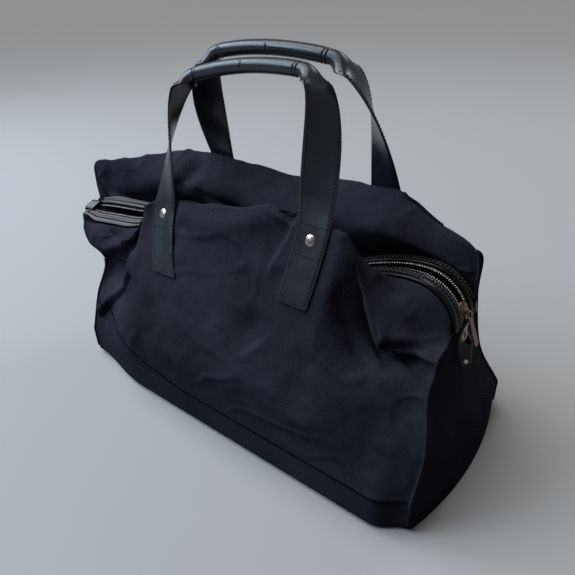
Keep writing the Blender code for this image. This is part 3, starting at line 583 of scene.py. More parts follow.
GUSSET_BAND = 0.2
GUSSET_EAR = 0.36
GUSSET_TOP_RING = 4.0
TAB_CLEAR_WIDTH = 0.16
TAB_CLEAR_FROM = 0.3
TAB_CLEAR_FADE = 0.25
PUCKER_HEIGHT = 0.006
PUCKER_SIZE = 0.06


def end_seam(side, end, rise):
    """The wall's end seam from the base corner (rise 0) to the ear or back corner (rise 1)."""
    rise = np.asarray(rise, float)
    upper = wall(side, end, np.maximum(0, rise - GUSSET_BAND) / (1 - GUSSET_BAND) * GUSSET_TOP_RING)
    upper[..., 2] = np.where(rise < GUSSET_BAND, upper[..., 2] * rise / GUSSET_BAND, upper[..., 2])
    under = np.clip(1 - upper[..., 2] / BASE_ROUND, 0, 1)
    upper[..., 1] -= side * BASE_ROUND * (1 - np.sqrt(1 - under**2))
    return upper


def gusset(end, across, rise):
    """Points of an end gusset between its two seams, drawn in below the zip's end."""
    across, rise = np.broadcast_arrays(np.asarray(across, float), np.asarray(rise, float))
    ones = np.ones_like(across)

    def row(height):
        return (end_seam(-1, end, height) * (1 - across)[..., None]
                + end_seam(1, end, height) * across[..., None])

    front_share = np.clip(across / GUSSET_EAR, 0, 1)
    back_share = np.clip((1 - across) / GUSSET_EAR, 0, 1)
    lip_share = np.clip((across - GUSSET_EAR) / (1 - 2 * GUSSET_EAR), 0, 1)[..., None]
    rest = LAST_RING - GUSSET_TOP_RING
    front_edge = wall(-1, end, GUSSET_TOP_RING + rest * front_share)
    back_edge = wall(1, end, GUSSET_TOP_RING + rest * back_share)
    top = np.where((across < 0.5)[..., None], front_edge, back_edge)
    lips = wall(-1, end, LAST_RING * ones) * (1 - lip_share) + wall(1, end, LAST_RING * ones) * lip_share
    inside = ((front_share >= 1) & (back_share >= 1))[..., None]
    top = np.where(inside, lips, top)
    points = row(rise) + (top - row(ones)) * (rise**3)[..., None]
    points[..., 0] -= end * END_DRAW_IN[end] * np.sin(pi * rise) * np.sin(pi * across)
    points[..., 0] += end * END_BULGE * (1 - rise) ** 2 * (1 - (2 * across - 1) ** 2)
    return points


def sewn_gusset(name, end):
    across = np.linspace(0, 1, 120)[None, :]
    rise = np.linspace(0, 1, 110)[:, None]
    if end < 0:
        across = across[:, ::-1]
    grid = gusset(end, across, rise)
    middle = np.exp(-(((across - 0.5) / TAB_CLEAR_WIDTH) ** 2))
    clear_of_tab = 1 - middle * ease((rise - TAB_CLEAR_FROM) / TAB_CLEAR_FADE)
    inner = np.sin(pi * across) * np.sin(pi * np.clip(rise * 1.1, 0, 1)) * clear_of_tab
    grid = grid + facing_of(grid) * (inner * PUCKER_HEIGHT * ripple(grid, PUCKER_SIZE, 3))[..., None]
    grid[..., 2] = np.maximum(grid[..., 2], CANVAS_THICK / 2)
    panel = grid_mesh(name, grid, (navy_canvas, dark_lining), CANVAS_THICK)
    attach(panel, "bag")
    return panel


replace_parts(sewn_gusset("canvas_left_end", -1), "left_gusset")
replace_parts(sewn_gusset("canvas_right_end", 1), "right_gusset")


def base_grid():
    share = np.linspace(-1, 1, 140)
    front, back = wall(-1, share, 0), wall(1, share, 0)
    turn = np.linspace(0, pi / 2, 8)
    depth = BASE_ROUND * (1 - np.cos(turn))
    height = BASE_ROUND * (1 - np.sin(turn))
    band = np.linspace(BAND_TOP, BASE_ROUND, 10)[:-1]
    ahead = np.concatenate((np.zeros(len(band)), depth))
    lift = np.concatenate((band, height))
    y_front = front[:, 1:2] + ahead
    y_back = back[:, 1:2] - ahead[::-1]
    under = np.linspace(0, 1, 40)[None, 1:-1]
    y_under = y_front[:, -1:] * (1 - under) + y_back[:, :1] * under
    y = np.concatenate((y_front, y_under, y_back), 1)
    z = np.concatenate((lift, np.zeros(under.shape[1]), lift[::-1]))[None, :] + 0 * y
    bulge = END_BULGE * share[:, None] ** 3 * (1 - np.clip(y / back[:, 1:2], -1, 1) ** 2)
    x = front[:, 0:1] + bulge
    return np.stack((x, y, z), -1)


base = grid_mesh("canvas_base", base_grid(), (navy_canvas, dark_lining), CANVAS_THICK)
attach(base, "bag")
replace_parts(base, "base_panel")


# Seam welts: the folded raw edges that stand along the end seams and the band seam.
# The end welts are the same canvas, turned and sewn through, as soft narrow ridges; the band's is a thin
# ridge coloured near-black as painted shade of the seam's groove.
WELT_RADIUS = 0.0017
BAND_WELT = 0.0009
BAND_WELT_REACH = (-0.97, 0.985)
END_WELT_FROM = 0.06
END_WELT_TO = {-1: 0.62, 1: 1}
BAND_LIFT = 0.85
BAND_CLIMB_FROM = -0.12
BAND_CLIMB_LENGTH = 0.9
SHARP_ANGLE = radians(50)
# The band welt's near-black colour is painted shade: the dark of the folded seam's groove.
seam_shadow = woven("seam_shadow", (0.0014, 0.0015, 0.0022), (0.0036, 0.0038, 0.0052), 0.9, 900.0, 0.3)
welts = []


def swept(name, centres, outline, finish, up_hint):
    """A closed bar along a line of points; the outline is (across, up) pairs, counter-clockwise."""
    centres = np.asarray(centres, float)
    along = unit(np.gradient(centres, axis=0))
    across = unit(np.cross(along, np.broadcast_to(np.asarray(up_hint, float), centres.shape)))
    up = np.cross(across, along)
    shape = np.asarray(outline, float)
    rings = centres[:, None] + (across[:, None] * shape[None, :, :1] + up[:, None] * shape[None, :, 1:])
    return ring_mesh(name, rings, finish)


def ring_mesh(name, rings, finish, closed_ends=True):
    """A skin over equal closed rings of points, with a UV map in metres."""
    count, around = rings.shape[:2]
    index = np.arange(count * around).reshape(count, around)
    nxt = np.roll(index, -1, axis=1)
    faces = np.stack((index[:-1], nxt[:-1], nxt[1:], index[1:]), -1).reshape(-1, 4).tolist()
    if closed_ends:
        faces.append(index[0][::-1].tolist())
        faces.append(index[-1].tolist())
    spread = np.stack(np.meshgrid(lengths_along(rings[0]), lengths_along(rings[:, 0])), -1)
    made = mesh_object(name, rings, faces, spread, [finish])
    made.data.set_sharp_from_angle(angle=SHARP_ANGLE)
    return made


def joined(name, pieces):
    """One object out of several, keeping their materials and UV maps."""
    with bpy.context.temp_override(active_object=pieces[0], selected_editable_objects=pieces):
        bpy.ops.object.join()
    pieces[0].name = name
    return pieces[0]


def round_outline(radius, count=10):
    turn = np.linspace(0, 2 * pi, count, endpoint=False)
    return np.stack((radius * np.cos(turn), radius * np.sin(turn)), -1)


def band_seam(side, share):
    """The seam above the band; on the front it climbs towards the left end."""
    if side > 0:
        return draped(side, share, 0.0 * share)
    return draped(side, share, BAND_LIFT * ease((BAND_CLIMB_FROM - share) / BAND_CLIMB_LENGTH))


for side in (-1, 1):
    for end in (-1, 1):
        line = end_seam(side, end, np.linspace(END_WELT_FROM, END_WELT_TO[end], 90))
        welts.append(swept("welt", line, round_outline(WELT_RADIUS), navy_canvas, (end, side * 0.3, 0.1)))
    line = band_seam(side, np.linspace(*BAND_WELT_REACH, 200))
    welts.append(swept("welt", line, round_outline(BAND_WELT), seam_shadow, (0, 0, 1)))
seam_welts = joined("seam_welts", welts)
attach(seam_welts, "bag")

# Carrying straps: black smooth leather, 36 mm wide, sewn and riveted on the panels.
# Each strap twists outwards as it rises and curls up into the rolled grip of its handle.
STRAP_THICK = 0.0028
STRAP_WIDTH = 0.036
STRAP_TAIL = 0.078
STRAP_BOX = 0.030
TAIL_DRAW_IN = {-1: 0.025, 1: 0.007}
TAIL_LEAN_POWER = 1.6
TAIL_ROWS = 40
FOLD_RING = 3.35
LOW_RING = 1.2
SEAM_GAP = 0.0003
GRIP_RADIUS = 0.0072
GRIP_HALF = 0.071
GRIP_ARCH = 0.006
FUNNEL = 0.031
LEG_RISE = 0.72
STRAP_COLUMNS = 25
COLUMN_CROWDING = 1.6
EDGE_SQUARENESS = 10
HANDLES = {
    "front": dict(side=-1, spacing=STRAP_SPACING[-1], grip_height=0.396),
    "back": dict(side=1, spacing=STRAP_SPACING[1], grip_height=0.409),
}
GRIP_SPREAD = 0.016
TWIST = radians(78)
TWIST_FROM = -0.02
TWIST_TO = 0.80
NARROW_FROM = 0.58
NARROW_LENGTH = 0.38
CURL_FROM = 0.67
CURL = 2 * pi * 0.985
PEBBLES_PER_METRE = 900.0


def leather_group():
    """Leather: pebble height, a slow wear mask and fine pores."""
    group, given, result = new_group(
        "leather_grain", [("Place", "NodeSocketVector", None)],
        [("Height", "NodeSocketFloat"), ("Wear", "NodeSocketFloat")])
    place = given.outputs["Place"]
    pebble = add_node(group, "ShaderNodeTexVoronoi", {"Vector": place, "Scale": PEBBLES_PER_METRE},
                      feature="SMOOTH_F1")
    pores = add_node(group, "ShaderNodeTexNoise", {"Vector": place, "Scale": 2200.0})
    mixed = add_node(group, "ShaderNodeMath",
                     {0: pores.outputs["Fac"], 1: 0.25, 2: pebble.outputs["Distance"]},
                     operation="MULTIPLY_ADD")
    wear = add_node(group, "ShaderNodeTexNoise", {"Vector": place, "Scale": 38.0, "Detail": 5.0})
    group.links.new(mixed.outputs[0], result.inputs["Height"])
    group.links.new(wear.outputs["Fac"], result.inputs["Wear"])
    return group


GRAIN = leather_group()


def leather(name, dark, light, smooth, rough, bump, shine=0.32):
    """A leather finish: wear moves its colour and its roughness."""
    finish, shader, grain, _ = new_finish(name, GRAIN)
    shader.inputs["Specular IOR Level"].default_value = shine
    tint(finish, shader, grain.outputs["Wear"], 0.35, dark, 0.8, light)
    dull(finish, shader, grain.outputs["Wear"], smooth, rough, 0.3, 0.75)
    emboss(finish, shader, grain.outputs["Height"], bump, 0.0003)
    return finish


# The straps' and grips' leather is near-black; its base colour is lifted and tinted blue as painted sheen
# of the cool window light.
black_leather = leather("black_leather", (0.0072, 0.0094, 0.0138), (0.0170, 0.0212, 0.0285),
                        0.22, 0.36, 0.30, 0.44)


def share_at(side, x, ring):
    """The share along a wall where a ring passes a given x."""
    sign = np.sign(x)
    return x / np.abs(wall(side, sign, ring)[..., 0])


def strap_seat(side, x, offsets, belows):
    """Points of the panel under a strap: a row for each length below its fold."""
    rings = np.linspace(FOLD_RING, LOW_RING, 240)
    line = wall(side, share_at(side, np.full_like(rings, x), rings), rings)
    gone = lengths_along(line)
    belows = np.asarray(belows, float)
    ring = np.interp(belows, gone, rings)[:, None]
    draw_in = TAIL_DRAW_IN[int(np.sign(x))] * (np.maximum(0, belows) / STRAP_TAIL) ** TAIL_LEAN_POWER
    place = x - np.sign(x) * draw_in[:, None] + np.asarray(offsets, float)[None, :]
    place, ring = np.broadcast_arrays(place, ring)
    return wall(side, share_at(side, place, ring), ring)


def fold_facing(side, x):
    patch = strap_seat(side, x, np.array((-0.004, 0.0, 0.004)) * -side, (0.002, 0.001, 0.0))
    return facing_of(patch)[2, 1]


def hinge_frame(side, spacing, grip_height):
    """The handle's frame: along its hinge, out, up to the grip, and the hinge's middle point."""
    ends = []
    for sign in (-1, 1):
        fold = strap_seat(side, sign * spacing, (0.0,), (0.0,))[0, 0]
        ends.append(fold + fold_facing(side, sign * spacing) * (SEAM_GAP + STRAP_THICK))
    middle = (ends[0] + ends[1]) / 2
    along = (ends[1] - ends[0]) / np.linalg.norm(ends[1] - ends[0])
    to_grip = np.array((middle[0], side * GRIP_SPREAD, grip_height)) - middle
    up = to_grip - along * to_grip.dot(along)
    up /= np.linalg.norm(up)
    half = np.linalg.norm(ends[1] - ends[0]) / 2
    return np.stack((along, np.cross(up, along), up)), middle, half, np.linalg.norm(to_grip)


def strap_stations(side, sign, spacing, axes, middle, half, reach):
    """Middle-surface points and normals of a strap, from its tail's end to the grip."""
    across = np.linspace(-1, 1, STRAP_COLUMNS)
    across = np.sign(across) * (1 - (1 - np.abs(across)) ** COLUMN_CROWDING)
    belows = np.linspace(STRAP_TAIL, 0.0, TAIL_ROWS)
    tail = strap_seat(side, sign * spacing, -side * across * STRAP_WIDTH / 2, belows)
    facing = facing_of(tail)
    tail = tail + facing * (SEAM_GAP + STRAP_THICK / 2)
    t = np.linspace(0.03, 1.0, 70)[:, None]
    u = 1 - t
    start = np.array((half, 0.0, SEAM_GAP))
    finish = np.array((GRIP_HALF + SEAM_GAP, 0.0, reach))
    rising = start + np.array((0.0, 0.0, reach * LEG_RISE))
    turning = finish + np.array((FUNNEL, 0.0, -FUNNEL * 2 * GRIP_ARCH / GRIP_HALF))
    path = start * u**3 + rising * 3 * u * u * t + turning * 3 * u * t * t + finish * t**3
    slope = (rising - start) * u * u + (turning - rising) * 2 * u * t + (finish - turning) * t * t
    slope = unit(slope)
    outward = np.stack((slope[:, 2], 0 * slope[:, 0], -slope[:, 0]), -1)
    for line in (path, slope, outward):
        line[:, 0] *= sign
    path[:, 1] -= side * STRAP_THICK / 2
    turn = TWIST * np.sin(pi / 2 * np.clip((t - TWIST_FROM) / (TWIST_TO - TWIST_FROM), 0, 1))
    turn = turn + (pi / 2 - TWIST) * ease((t - TWIST_TO) / (1 - TWIST_TO))
    normal = np.array((0.0, side, 0.0)) * np.cos(turn) + outward * np.sin(turn)
    wide = np.cross(slope, normal)
    curl = np.maximum(CURL * ease((t - CURL_FROM) / (1 - CURL_FROM)), 1e-3)
    rolled = 2 * pi * (GRIP_RADIUS - STRAP_THICK / 2)
    width = STRAP_WIDTH + (rolled - STRAP_WIDTH) * ease((t - NARROW_FROM) / NARROW_LENGTH)
    radius = width / curl
    angle = across[None, :] * curl / 2
    sink = radius * (np.sinc(curl / 2 / pi) - 1)
    sideways = radius * np.sin(angle)
    through = radius * (np.cos(angle) - 1) - sink
    leg = path[:, None] + wide[:, None] * sideways[..., None] + normal[:, None] * through[..., None]
    leg_facing = wide[:, None] * np.sin(angle)[..., None] + normal[:, None] * np.cos(angle)[..., None]
    leg = middle + leg @ axes
    leg_facing = leg_facing @ axes
    points = np.concatenate((tail, leg))
    facing = np.concatenate((facing, leg_facing))
    blend_rows = slice(len(tail) - 6, len(tail) + 8)
    for _ in range(6):
        smooth = (np.roll(points, 1, 0) + 2 * points + np.roll(points, -1, 0)) / 4
        points[blend_rows] = smooth[blend_rows]
        smooth = (np.roll(facing, 1, 0) + 2 * facing + np.roll(facing, -1, 0)) / 4
        facing[blend_rows] = smooth[blend_rows]
    return across, points, unit(facing)


def strap_skin(name, across, points, facing):
    half = STRAP_THICK / 2 * np.sqrt(np.maximum(0.0, 1 - np.abs(across) ** EDGE_SQUARENESS))
    outer = points + facing * half[None, :, None]
    inner = points - facing * half[None, :, None]
    rings = np.concatenate((outer, inner[:, -2:0:-1]), 1)
    return ring_mesh(name, rings, black_leather), outer


strap_faces = {}
hinges = {}
for label, shape in HANDLES.items():
    side, spacing = shape["side"], shape["spacing"]
    axes, middle, half, reach = hinge_frame(side, spacing, shape["grip_height"])
    hinges[label] = (axes, middle, half, reach)
    for hand, sign in (("left", -1), ("right", 1)):
        across, points, facing = strap_stations(side, sign, spacing, axes, middle, half, reach)
        strap, outer = strap_skin(f"{label}_{hand}_strap", across, points, facing)
        strap_faces[label, hand] = (across, outer, facing)
        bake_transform(strap)
        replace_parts(strap, f"{label}_{hand}_strap_end", f"{label}_handle_{hand}_strap")


# Rolled grips: each is a leather sleeve sewn round a foam core, with a ring seam at its middle.
# Its ends are turned under and sewn down over the curled straps.
SLEEVE_RADIUS = 0.0077
SLEEVE_END = 0.0068
RING_DEPTH = 0.0007
RING_WIDTH = 0.0009
END_TURN = 0.0016
END_SEAM = 0.004
END_SEAM_WIDTH = 0.0008

for label in HANDLES:
    axes, middle, half, reach = hinges[label]
    side = HANDLES[label]["side"]
    x = np.linspace(-GRIP_HALF, GRIP_HALF, 181)
    radius = SLEEVE_END + (SLEEVE_RADIUS - SLEEVE_END) * ease((GRIP_HALF - np.abs(x)) / END_TURN)
    radius = radius - RING_DEPTH * np.exp(-((x / RING_WIDTH) ** 2))
    radius = radius - RING_DEPTH * np.exp(-(((np.abs(x) - GRIP_HALF + END_SEAM) / END_SEAM_WIDTH) ** 2))
    turn = np.linspace(0, 2 * pi, 28, endpoint=False)
    arch = GRIP_ARCH * (1 - (x / GRIP_HALF) ** 2)
    centre = np.stack((x, 0 * x - side * STRAP_THICK / 2, reach + arch), -1)
    slope = unit(np.gradient(centre, axis=0))
    out = np.array((0.0, 1.0, 0.0))
    up = np.cross(slope, out)
    rings = centre[:, None] + radius[:, None, None] * (
        np.cos(turn)[None, :, None] * out + np.sin(turn)[None, :, None] * up[:, None])
    grip = ring_mesh(label + "_rolled_grip", middle + rings @ axes, black_leather)
    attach(grip, label + "_handle")
    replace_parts(grip, label + "_grip", label + "_grip_core")

# Rivets: six turned nickel domes that hold the strap ends and the zip tabs.
# Polished, then dulled by handling; each has a thin flat rim under its dome.
RIVET_RADIUS = 0.0057
RIVET_DOME = 0.0017
RIVET_BELOW_FOLD = 0.012


def metal_group():
    """Handled metal: a smear mask and fine scratches along one direction."""
    group, given, result = new_group(
        "handled_metal", [("Place", "NodeSocketVector", None)],
        [("Smear", "NodeSocketFloat"), ("Height", "NodeSocketFloat")])
    place = given.outputs["Place"]
    smear = add_node(group, "ShaderNodeTexNoise", {"Vector": place, "Scale": 260.0, "Detail": 4.0})
    stretch = add_node(group, "ShaderNodeVectorMath", {0: place, 1: (3000.0, 240.0, 240.0)},
                       operation="MULTIPLY")
    scratch = add_node(group, "ShaderNodeTexNoise", {"Vector": stretch.outputs[0], "Scale": 1.0})
    group.links.new(smear.outputs["Fac"], result.inputs["Smear"])
    group.links.new(scratch.outputs["Fac"], result.inputs["Height"])
    return group


HANDLED = metal_group()


def metal(name, dark, light, smooth, rough):
    """A metal finish whose smears move its tint and its roughness."""
    finish, shader, handled, _ = new_finish(name, HANDLED)
    shader.inputs["Metallic"].default_value = 1.0
    tint(finish, shader, handled.outputs["Smear"], 0.35, dark, 0.7, light)
    dull(finish, shader, handled.outputs["Smear"], smooth, rough)
    emboss(finish, shader, handled.outputs["Height"], 0.12, 0.0001)
    return finish


polished_nickel = metal("polished_nickel", (0.25, 0.205, 0.18), (0.50, 0.44, 0.40), 0.14, 0.34)
warm_nickel = metal("warm_nickel", (0.11, 0.052, 0.032), (0.28, 0.160, 0.108), 0.16, 0.34)


def repeat_tree():
    """Puts a template on every point, turned by the point's own along and facing directions."""
    tree = bpy.data.node_groups.new("repeat_on_points", "GeometryNodeTree")
    tree.interface.new_socket("Points", in_out="INPUT", socket_type="NodeSocketGeometry")
    for label in ("Length", "Width", "Height"):
        tree.interface.new_socket(label, in_out="INPUT", socket_type="NodeSocketFloat")
    tree.interface.new_socket("Template", in_out="INPUT", socket_type="NodeSocketObject")
    tree.interface.new_socket("Finish", in_out="INPUT", socket_type="NodeSocketMaterial")
    tree.interface.new_socket("Pieces", in_out="OUTPUT", socket_type="NodeSocketGeometry")
    given, result = tree.nodes.new("NodeGroupInput"), tree.nodes.new("NodeGroupOutput")
    turns = []
    for label, axis, pivot in (("facing", "Z", "AUTO"), ("along", "X", "Z")):
        named = add_node(tree, "GeometryNodeInputNamedAttribute", {"Name": label}, data_type="FLOAT_VECTOR")
        turns.append(add_node(tree, "FunctionNodeAlignRotationToVector",
                              {"Vector": named.outputs["Attribute"]}, axis=axis, pivot_axis=pivot))
    tree.links.new(turns[0].outputs["Rotation"], turns[1].inputs["Rotation"])
    size = add_node(tree, "ShaderNodeCombineXYZ", {
        "X": given.outputs["Length"], "Y": given.outputs["Width"], "Z": given.outputs["Height"]})
    template = add_node(tree, "GeometryNodeObjectInfo", {"Object": given.outputs["Template"]})
    place = add_node(tree, "GeometryNodeInstanceOnPoints", {
        "Points": given.outputs["Points"], "Instance": template.outputs["Geometry"],
        "Rotation": turns[1].outputs["Rotation"], "Scale": size.outputs["Vector"]})
    real = add_node(tree, "GeometryNodeRealizeInstances", {"Geometry": place.outputs["Instances"]})
    painted = add_node(tree, "GeometryNodeSetMaterial", {
        "Geometry": real.outputs["Geometry"], "Material": given.outputs["Finish"]})
    tree.links.new(painted.outputs["Geometry"], result.inputs["Pieces"])
    return tree


REPEAT = repeat_tree()


def repeated(name, template, size, finish, points, along, facing):
    """A plain mesh of one template repeated on points."""
    mesh = bpy.data.meshes.new(name)
    mesh.from_pydata(np.asarray(points, float).tolist(), [], [])
    for label, values in (("along", along), ("facing", facing)):
        kept = mesh.attributes.new(label, "FLOAT_VECTOR", "POINT")
        kept.data.foreach_set("vector", np.asarray(values, float).ravel())
    source = placed(name, mesh)
    repeat = source.modifiers.new("repeat", "NODES")
    repeat.node_group = REPEAT
    values = dict(Length=size[0], Width=size[1], Height=size[2], Template=template, Finish=finish)
    for item in REPEAT.interface.items_tree:
        if item.in_out == "INPUT" and item.name in values:
            repeat[item.identifier] = values[item.name]
    bpy.context.view_layer.update()
    ready = source.evaluated_get(bpy.context.evaluated_depsgraph_get())
    plain = bpy.data.meshes.new_from_object(ready)
    bpy.data.objects.remove(source)
    plain.name = name
    for label in ("along", "facing"):
        if label in plain.attributes:
            plain.attributes.remove(plain.attributes[label])
    return placed(name, plain)


def turned_template(name, profile, steps):
    """A round template turned from (radius, height) pairs, standing on the origin."""
    turn = np.linspace(0, 2 * pi, steps, endpoint=False)
    rings = [np.stack((r * np.cos(turn), r * np.sin(turn), h + 0 * turn), -1) for r, h in profile]
    made = ring_mesh(name, np.stack(rings), polished_nickel)
    made.hide_render = True
    return made


dome_profile = [(0.96, 0.0), (1.0, 0.10), (0.98, 0.22), (0.86, 0.30)]
dome_profile += [(0.86 * cos(a), 0.30 + 0.70 * sin(a)) for a in np.linspace(0.12, 1.45, 9)]
dome_template = turned_template("dome_template", dome_profile, 28)


def strap_rivet(side, x):
    patch = strap_seat(side, x, np.array((-0.002, 0.0, 0.002)) * -side,
                       RIVET_BELOW_FOLD + np.array((0.002, 0.0, -0.002)))
    facing = facing_of(patch)[1, 1]
    return patch[1, 1] + facing * (SEAM_GAP + STRAP_THICK), facing


rivet_points, rivet_facing, rivet_nodes = [], [], []
for label, shape in HANDLES.items():
    for hand, sign in (("left", -1), ("right", 1)):
        point, facing = strap_rivet(shape["side"], sign * shape["spacing"])
        rivet_points.append(point)
        rivet_facing.append(facing)
        rivet_nodes.append(f"{label}_{hand}_strap_end_rivet")

# Zip: moulded metal teeth on a woven tape, between two leather trims sewn to the cloth lips.
# The trims are folded strips with two rows of stitching; the mouth between them is dark.
ZIP_STATIONS = 300
TAPE_RISE = -0.0025
TAPE_THICK = 0.0010
MOUTH_HALF = 0.0050
TAPE_INNER = MOUTH_HALF + 0.0012
TAPE_OUTER = 0.0150
TEETH_FROM = 0.004
TEETH_END = 0.003
TOOTH_INSET = 0.0014
TOOTH_PITCH = 0.0026
TOOTH_SIZE = (0.0016, 0.0036, 0.0022)
TRIM_PROFILE = ((9.5, -1.1), (9.7, -0.3), (10.6, 0.25), (12.6, 0.55), (14.8, 0.20), (16.4, -0.75),
                (17.2, -0.75), (18.6, 0.25), (21.2, 0.70), (24.0, 0.20), (25.2, -0.40), (25.5, -1.1),
                (25.2, -1.8), (24.0, -2.1), (10.4, -2.1), (9.7, -1.8))
trim_leather = leather("trim_leather", (0.0024, 0.0026, 0.0032), (0.0064, 0.0065, 0.0076),
                       0.15, 0.24, 0.25, 0.16)
zip_cloth = woven("zip_cloth", (0.006, 0.006, 0.007), (0.013, 0.013, 0.015), 0.8, 1500.0, 0.5)
tooth_metal = metal("tooth_metal", (0.30, 0.29, 0.28), (0.52, 0.50, 0.48), 0.2, 0.4)


def zip_strip(name, side, outline, finish):
    lengths = np.linspace(0, ZIP_LENGTH, ZIP_STATIONS)[:, None]
    y = np.array([point[0] for point in outline])[None, :]
    rise = np.array([point[1] for point in outline])[None, :]
    rings = zip_line(lengths, side * y, rise)
    if side < 0:
        rings = rings[:, ::-1]
    return ring_mesh(name, rings, finish)


def zip_frame(length, y, rise):
    """Points, directions and normals along the zip for rows of small pieces."""
    step = 0.0004
    point = zip_line(length, y, rise)
    along = zip_line(length + step, y, rise) - zip_line(length - step, y, rise)
    facing = zip_line(length, y, rise + step) - zip_line(length, y, rise - step)
    return point, along, facing


def pill_template(name):
    """A small rounded bar, one unit long, for stitches and teeth."""
    bpy.ops.mesh.primitive_cube_add(size=1.0)
    made = bpy.context.object
    made.name = name
    rounder = made.modifiers.new("round", "BEVEL")
    rounder.width = 0.22
    rounder.segments = 1
    plain = bpy.data.meshes.new_from_object(made.evaluated_get(bpy.context.evaluated_depsgraph_get()))
    plain.shade_smooth()
    bpy.data.objects.remove(made)
    made = placed(name, plain)
    made.hide_render = True
    return made


pill = pill_template("pill_template")
trim_outline = [(y / 1000, rise / 1000) for y, rise in TRIM_PROFILE]
for label, side in (("front", -1), ("back", 1)):
    trim = zip_strip(label + "_trim", side, trim_outline, trim_leather)
    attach(trim, "bag")
    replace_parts(trim, label + "_zip_trim")
    low = TAPE_RISE - TAPE_THICK
    tape_outline = ((TAPE_INNER, TAPE_RISE), (TAPE_OUTER, TAPE_RISE), (TAPE_OUTER, low), (TAPE_INNER, low))
    tape = zip_strip(label + "_tape", side, tape_outline, zip_cloth)
    stagger = TOOTH_PITCH / 2 if side > 0 else 0.0
    lengths = np.arange(TEETH_FROM + stagger, ZIP_LENGTH - TEETH_END, TOOTH_PITCH)
    teeth = repeated(label + "_teeth", pill, TOOTH_SIZE, tooth_metal,
                     *zip_frame(lengths, side * (MOUTH_HALF + TOOTH_INSET), TAPE_RISE))
    for piece in (tape, teeth):
        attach(piece, "bag")
    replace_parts(tape, label + "_zip_tape")


# Zip tabs: a tapered leather tongue at each end of the zip, riveted to the gusset below it.
# A small stud pins its tip; the leather is that of the trims. The right tab turns out at its edge.
TAB_LENGTH = 0.060
TAB_HALF = 0.0095
TAB_TIP = 0.0042
TAB_THICK = 0.0024
TAB_LIFT = 0.0008
TAB_TURN = {-1: 0.0, 1: 0.010}
TAB_TOP = {-1: 0.0005, 1: 0.0092}
TAB_TURN_FROM = 0.14
TAB_TURN_LENGTH = 0.40
TAB_TAPER_FROM = 0.25
TAB_TAPER_LENGTH = 0.7
TAB_NOSE = 0.004
TAB_OVER = (-0.004, 0.010)
TAB_OVER_WIDE = 1.3
TAB_OVER_RISE = 0.0004
TAB_SQUARENESS = 8
TAB_RIVET = 0.022
TAB_STUD = 0.053
TAB_ROWS = 48
TAB_COLUMNS = 13
STUD_RADIUS = 0.0028
STUD_DOME = 0.0016


def gusset_line(end, belows):
    """Rises on a gusset's middle line at lengths below its upper edge."""
    rises = np.linspace(1, 0.3, 400)
    line = gusset(end, np.full_like(rises, 0.5), rises)
    gone = lengths_along(line)
    return np.interp(belows, gone, rises)


def tab_seat(end, belows, depths):
    """Points of the gusset under a tab, from its tip up, for depths across it."""
    rise = gusset_line(end, belows)[:, None]
    step = 0.01
    wide = gusset(end, 0.5 + step, rise)[..., 1] - gusset(end, 0.5 - step, rise)[..., 1]
    return gusset(end, 0.5 + depths / wide * 2 * step, rise)


def tab_skin(name, end):
    across = np.linspace(-1, 1, TAB_COLUMNS) * end
    belows = np.linspace(TAB_LENGTH, TAB_TOP[end], TAB_ROWS)
    narrow = ease((belows - TAB_LENGTH * TAB_TAPER_FROM) / (TAB_LENGTH * TAB_TAPER_LENGTH))
    half = TAB_HALF + (TAB_TIP - TAB_HALF) * narrow
    half = half * np.sqrt(np.clip((TAB_LENGTH - belows + 0.0006) / TAB_NOSE, 0.05, 1))
    seat = tab_seat(end, belows, across[None, :] * half[:, None])
    if end < 0:
        over = zip_line(np.linspace(*TAB_OVER, 12)[:, None], across[None, :] * TAB_HALF * TAB_OVER_WIDE,
                        TAB_OVER_RISE)
        seat = np.concatenate((seat, over))
    facing = facing_of(seat)
    edge = np.sqrt(np.maximum(0, 1 - np.abs(across) ** TAB_SQUARENESS))[None, :, None]
    turned = ease((np.linspace(1, 0, len(seat))[:, None] - TAB_TURN_FROM) / TAB_TURN_LENGTH)
    turn = TAB_TURN[end] * (1 + across[None, :] * end) / 2 * turned
    middle = seat + facing * (TAB_LIFT + TAB_THICK / 2 + turn[..., None])
    facing = facing_of(middle)
    outer = middle + facing * TAB_THICK / 2 * edge
    inner = middle - facing * TAB_THICK / 2 * edge
    rings = np.concatenate((outer, inner[:, -2:0:-1]), 1)
    return ring_mesh(name, rings, trim_leather), outer, facing


def tab_mark(end, outer, facing, below):
    row = int(round((TAB_LENGTH - below) / (TAB_LENGTH - TAB_TOP[end]) * (TAB_ROWS - 1)))
    return outer[row, TAB_COLUMNS // 2], facing[row, TAB_COLUMNS // 2]


stud_points, stud_facing = [], []
for hand, end in (("left", -1), ("right", 1)):
    tab, outer, facing = tab_skin(hand + "_tab", end)
    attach(tab, "bag")
    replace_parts(tab, hand + "_zip_tab")
    point, upright = tab_mark(end, outer, facing, TAB_RIVET)
    rivet_points.append(point)
    rivet_facing.append(upright)
    rivet_nodes.append(hand + "_zip_tab_rivet")
    point, upright = tab_mark(end, outer, facing, TAB_STUD)
    stud_points.append(point)
    stud_facing.append(upright)

level_rows = np.tile((1.0, 0.0, 0.0), (len(rivet_points), 1))
domes = repeated("dome_rivets", dome_template, (RIVET_RADIUS, RIVET_RADIUS, RIVET_DOME), polished_nickel,
                 rivet_points, level_rows, rivet_facing)
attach(domes, "bag")
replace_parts(domes, *rivet_nodes)
studs = repeated("tab_studs", dome_template, (STUD_RADIUS, STUD_RADIUS, STUD_DOME), polished_nickel,
                 stud_points, level_rows[:2], stud_facing)
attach(studs, "bag")

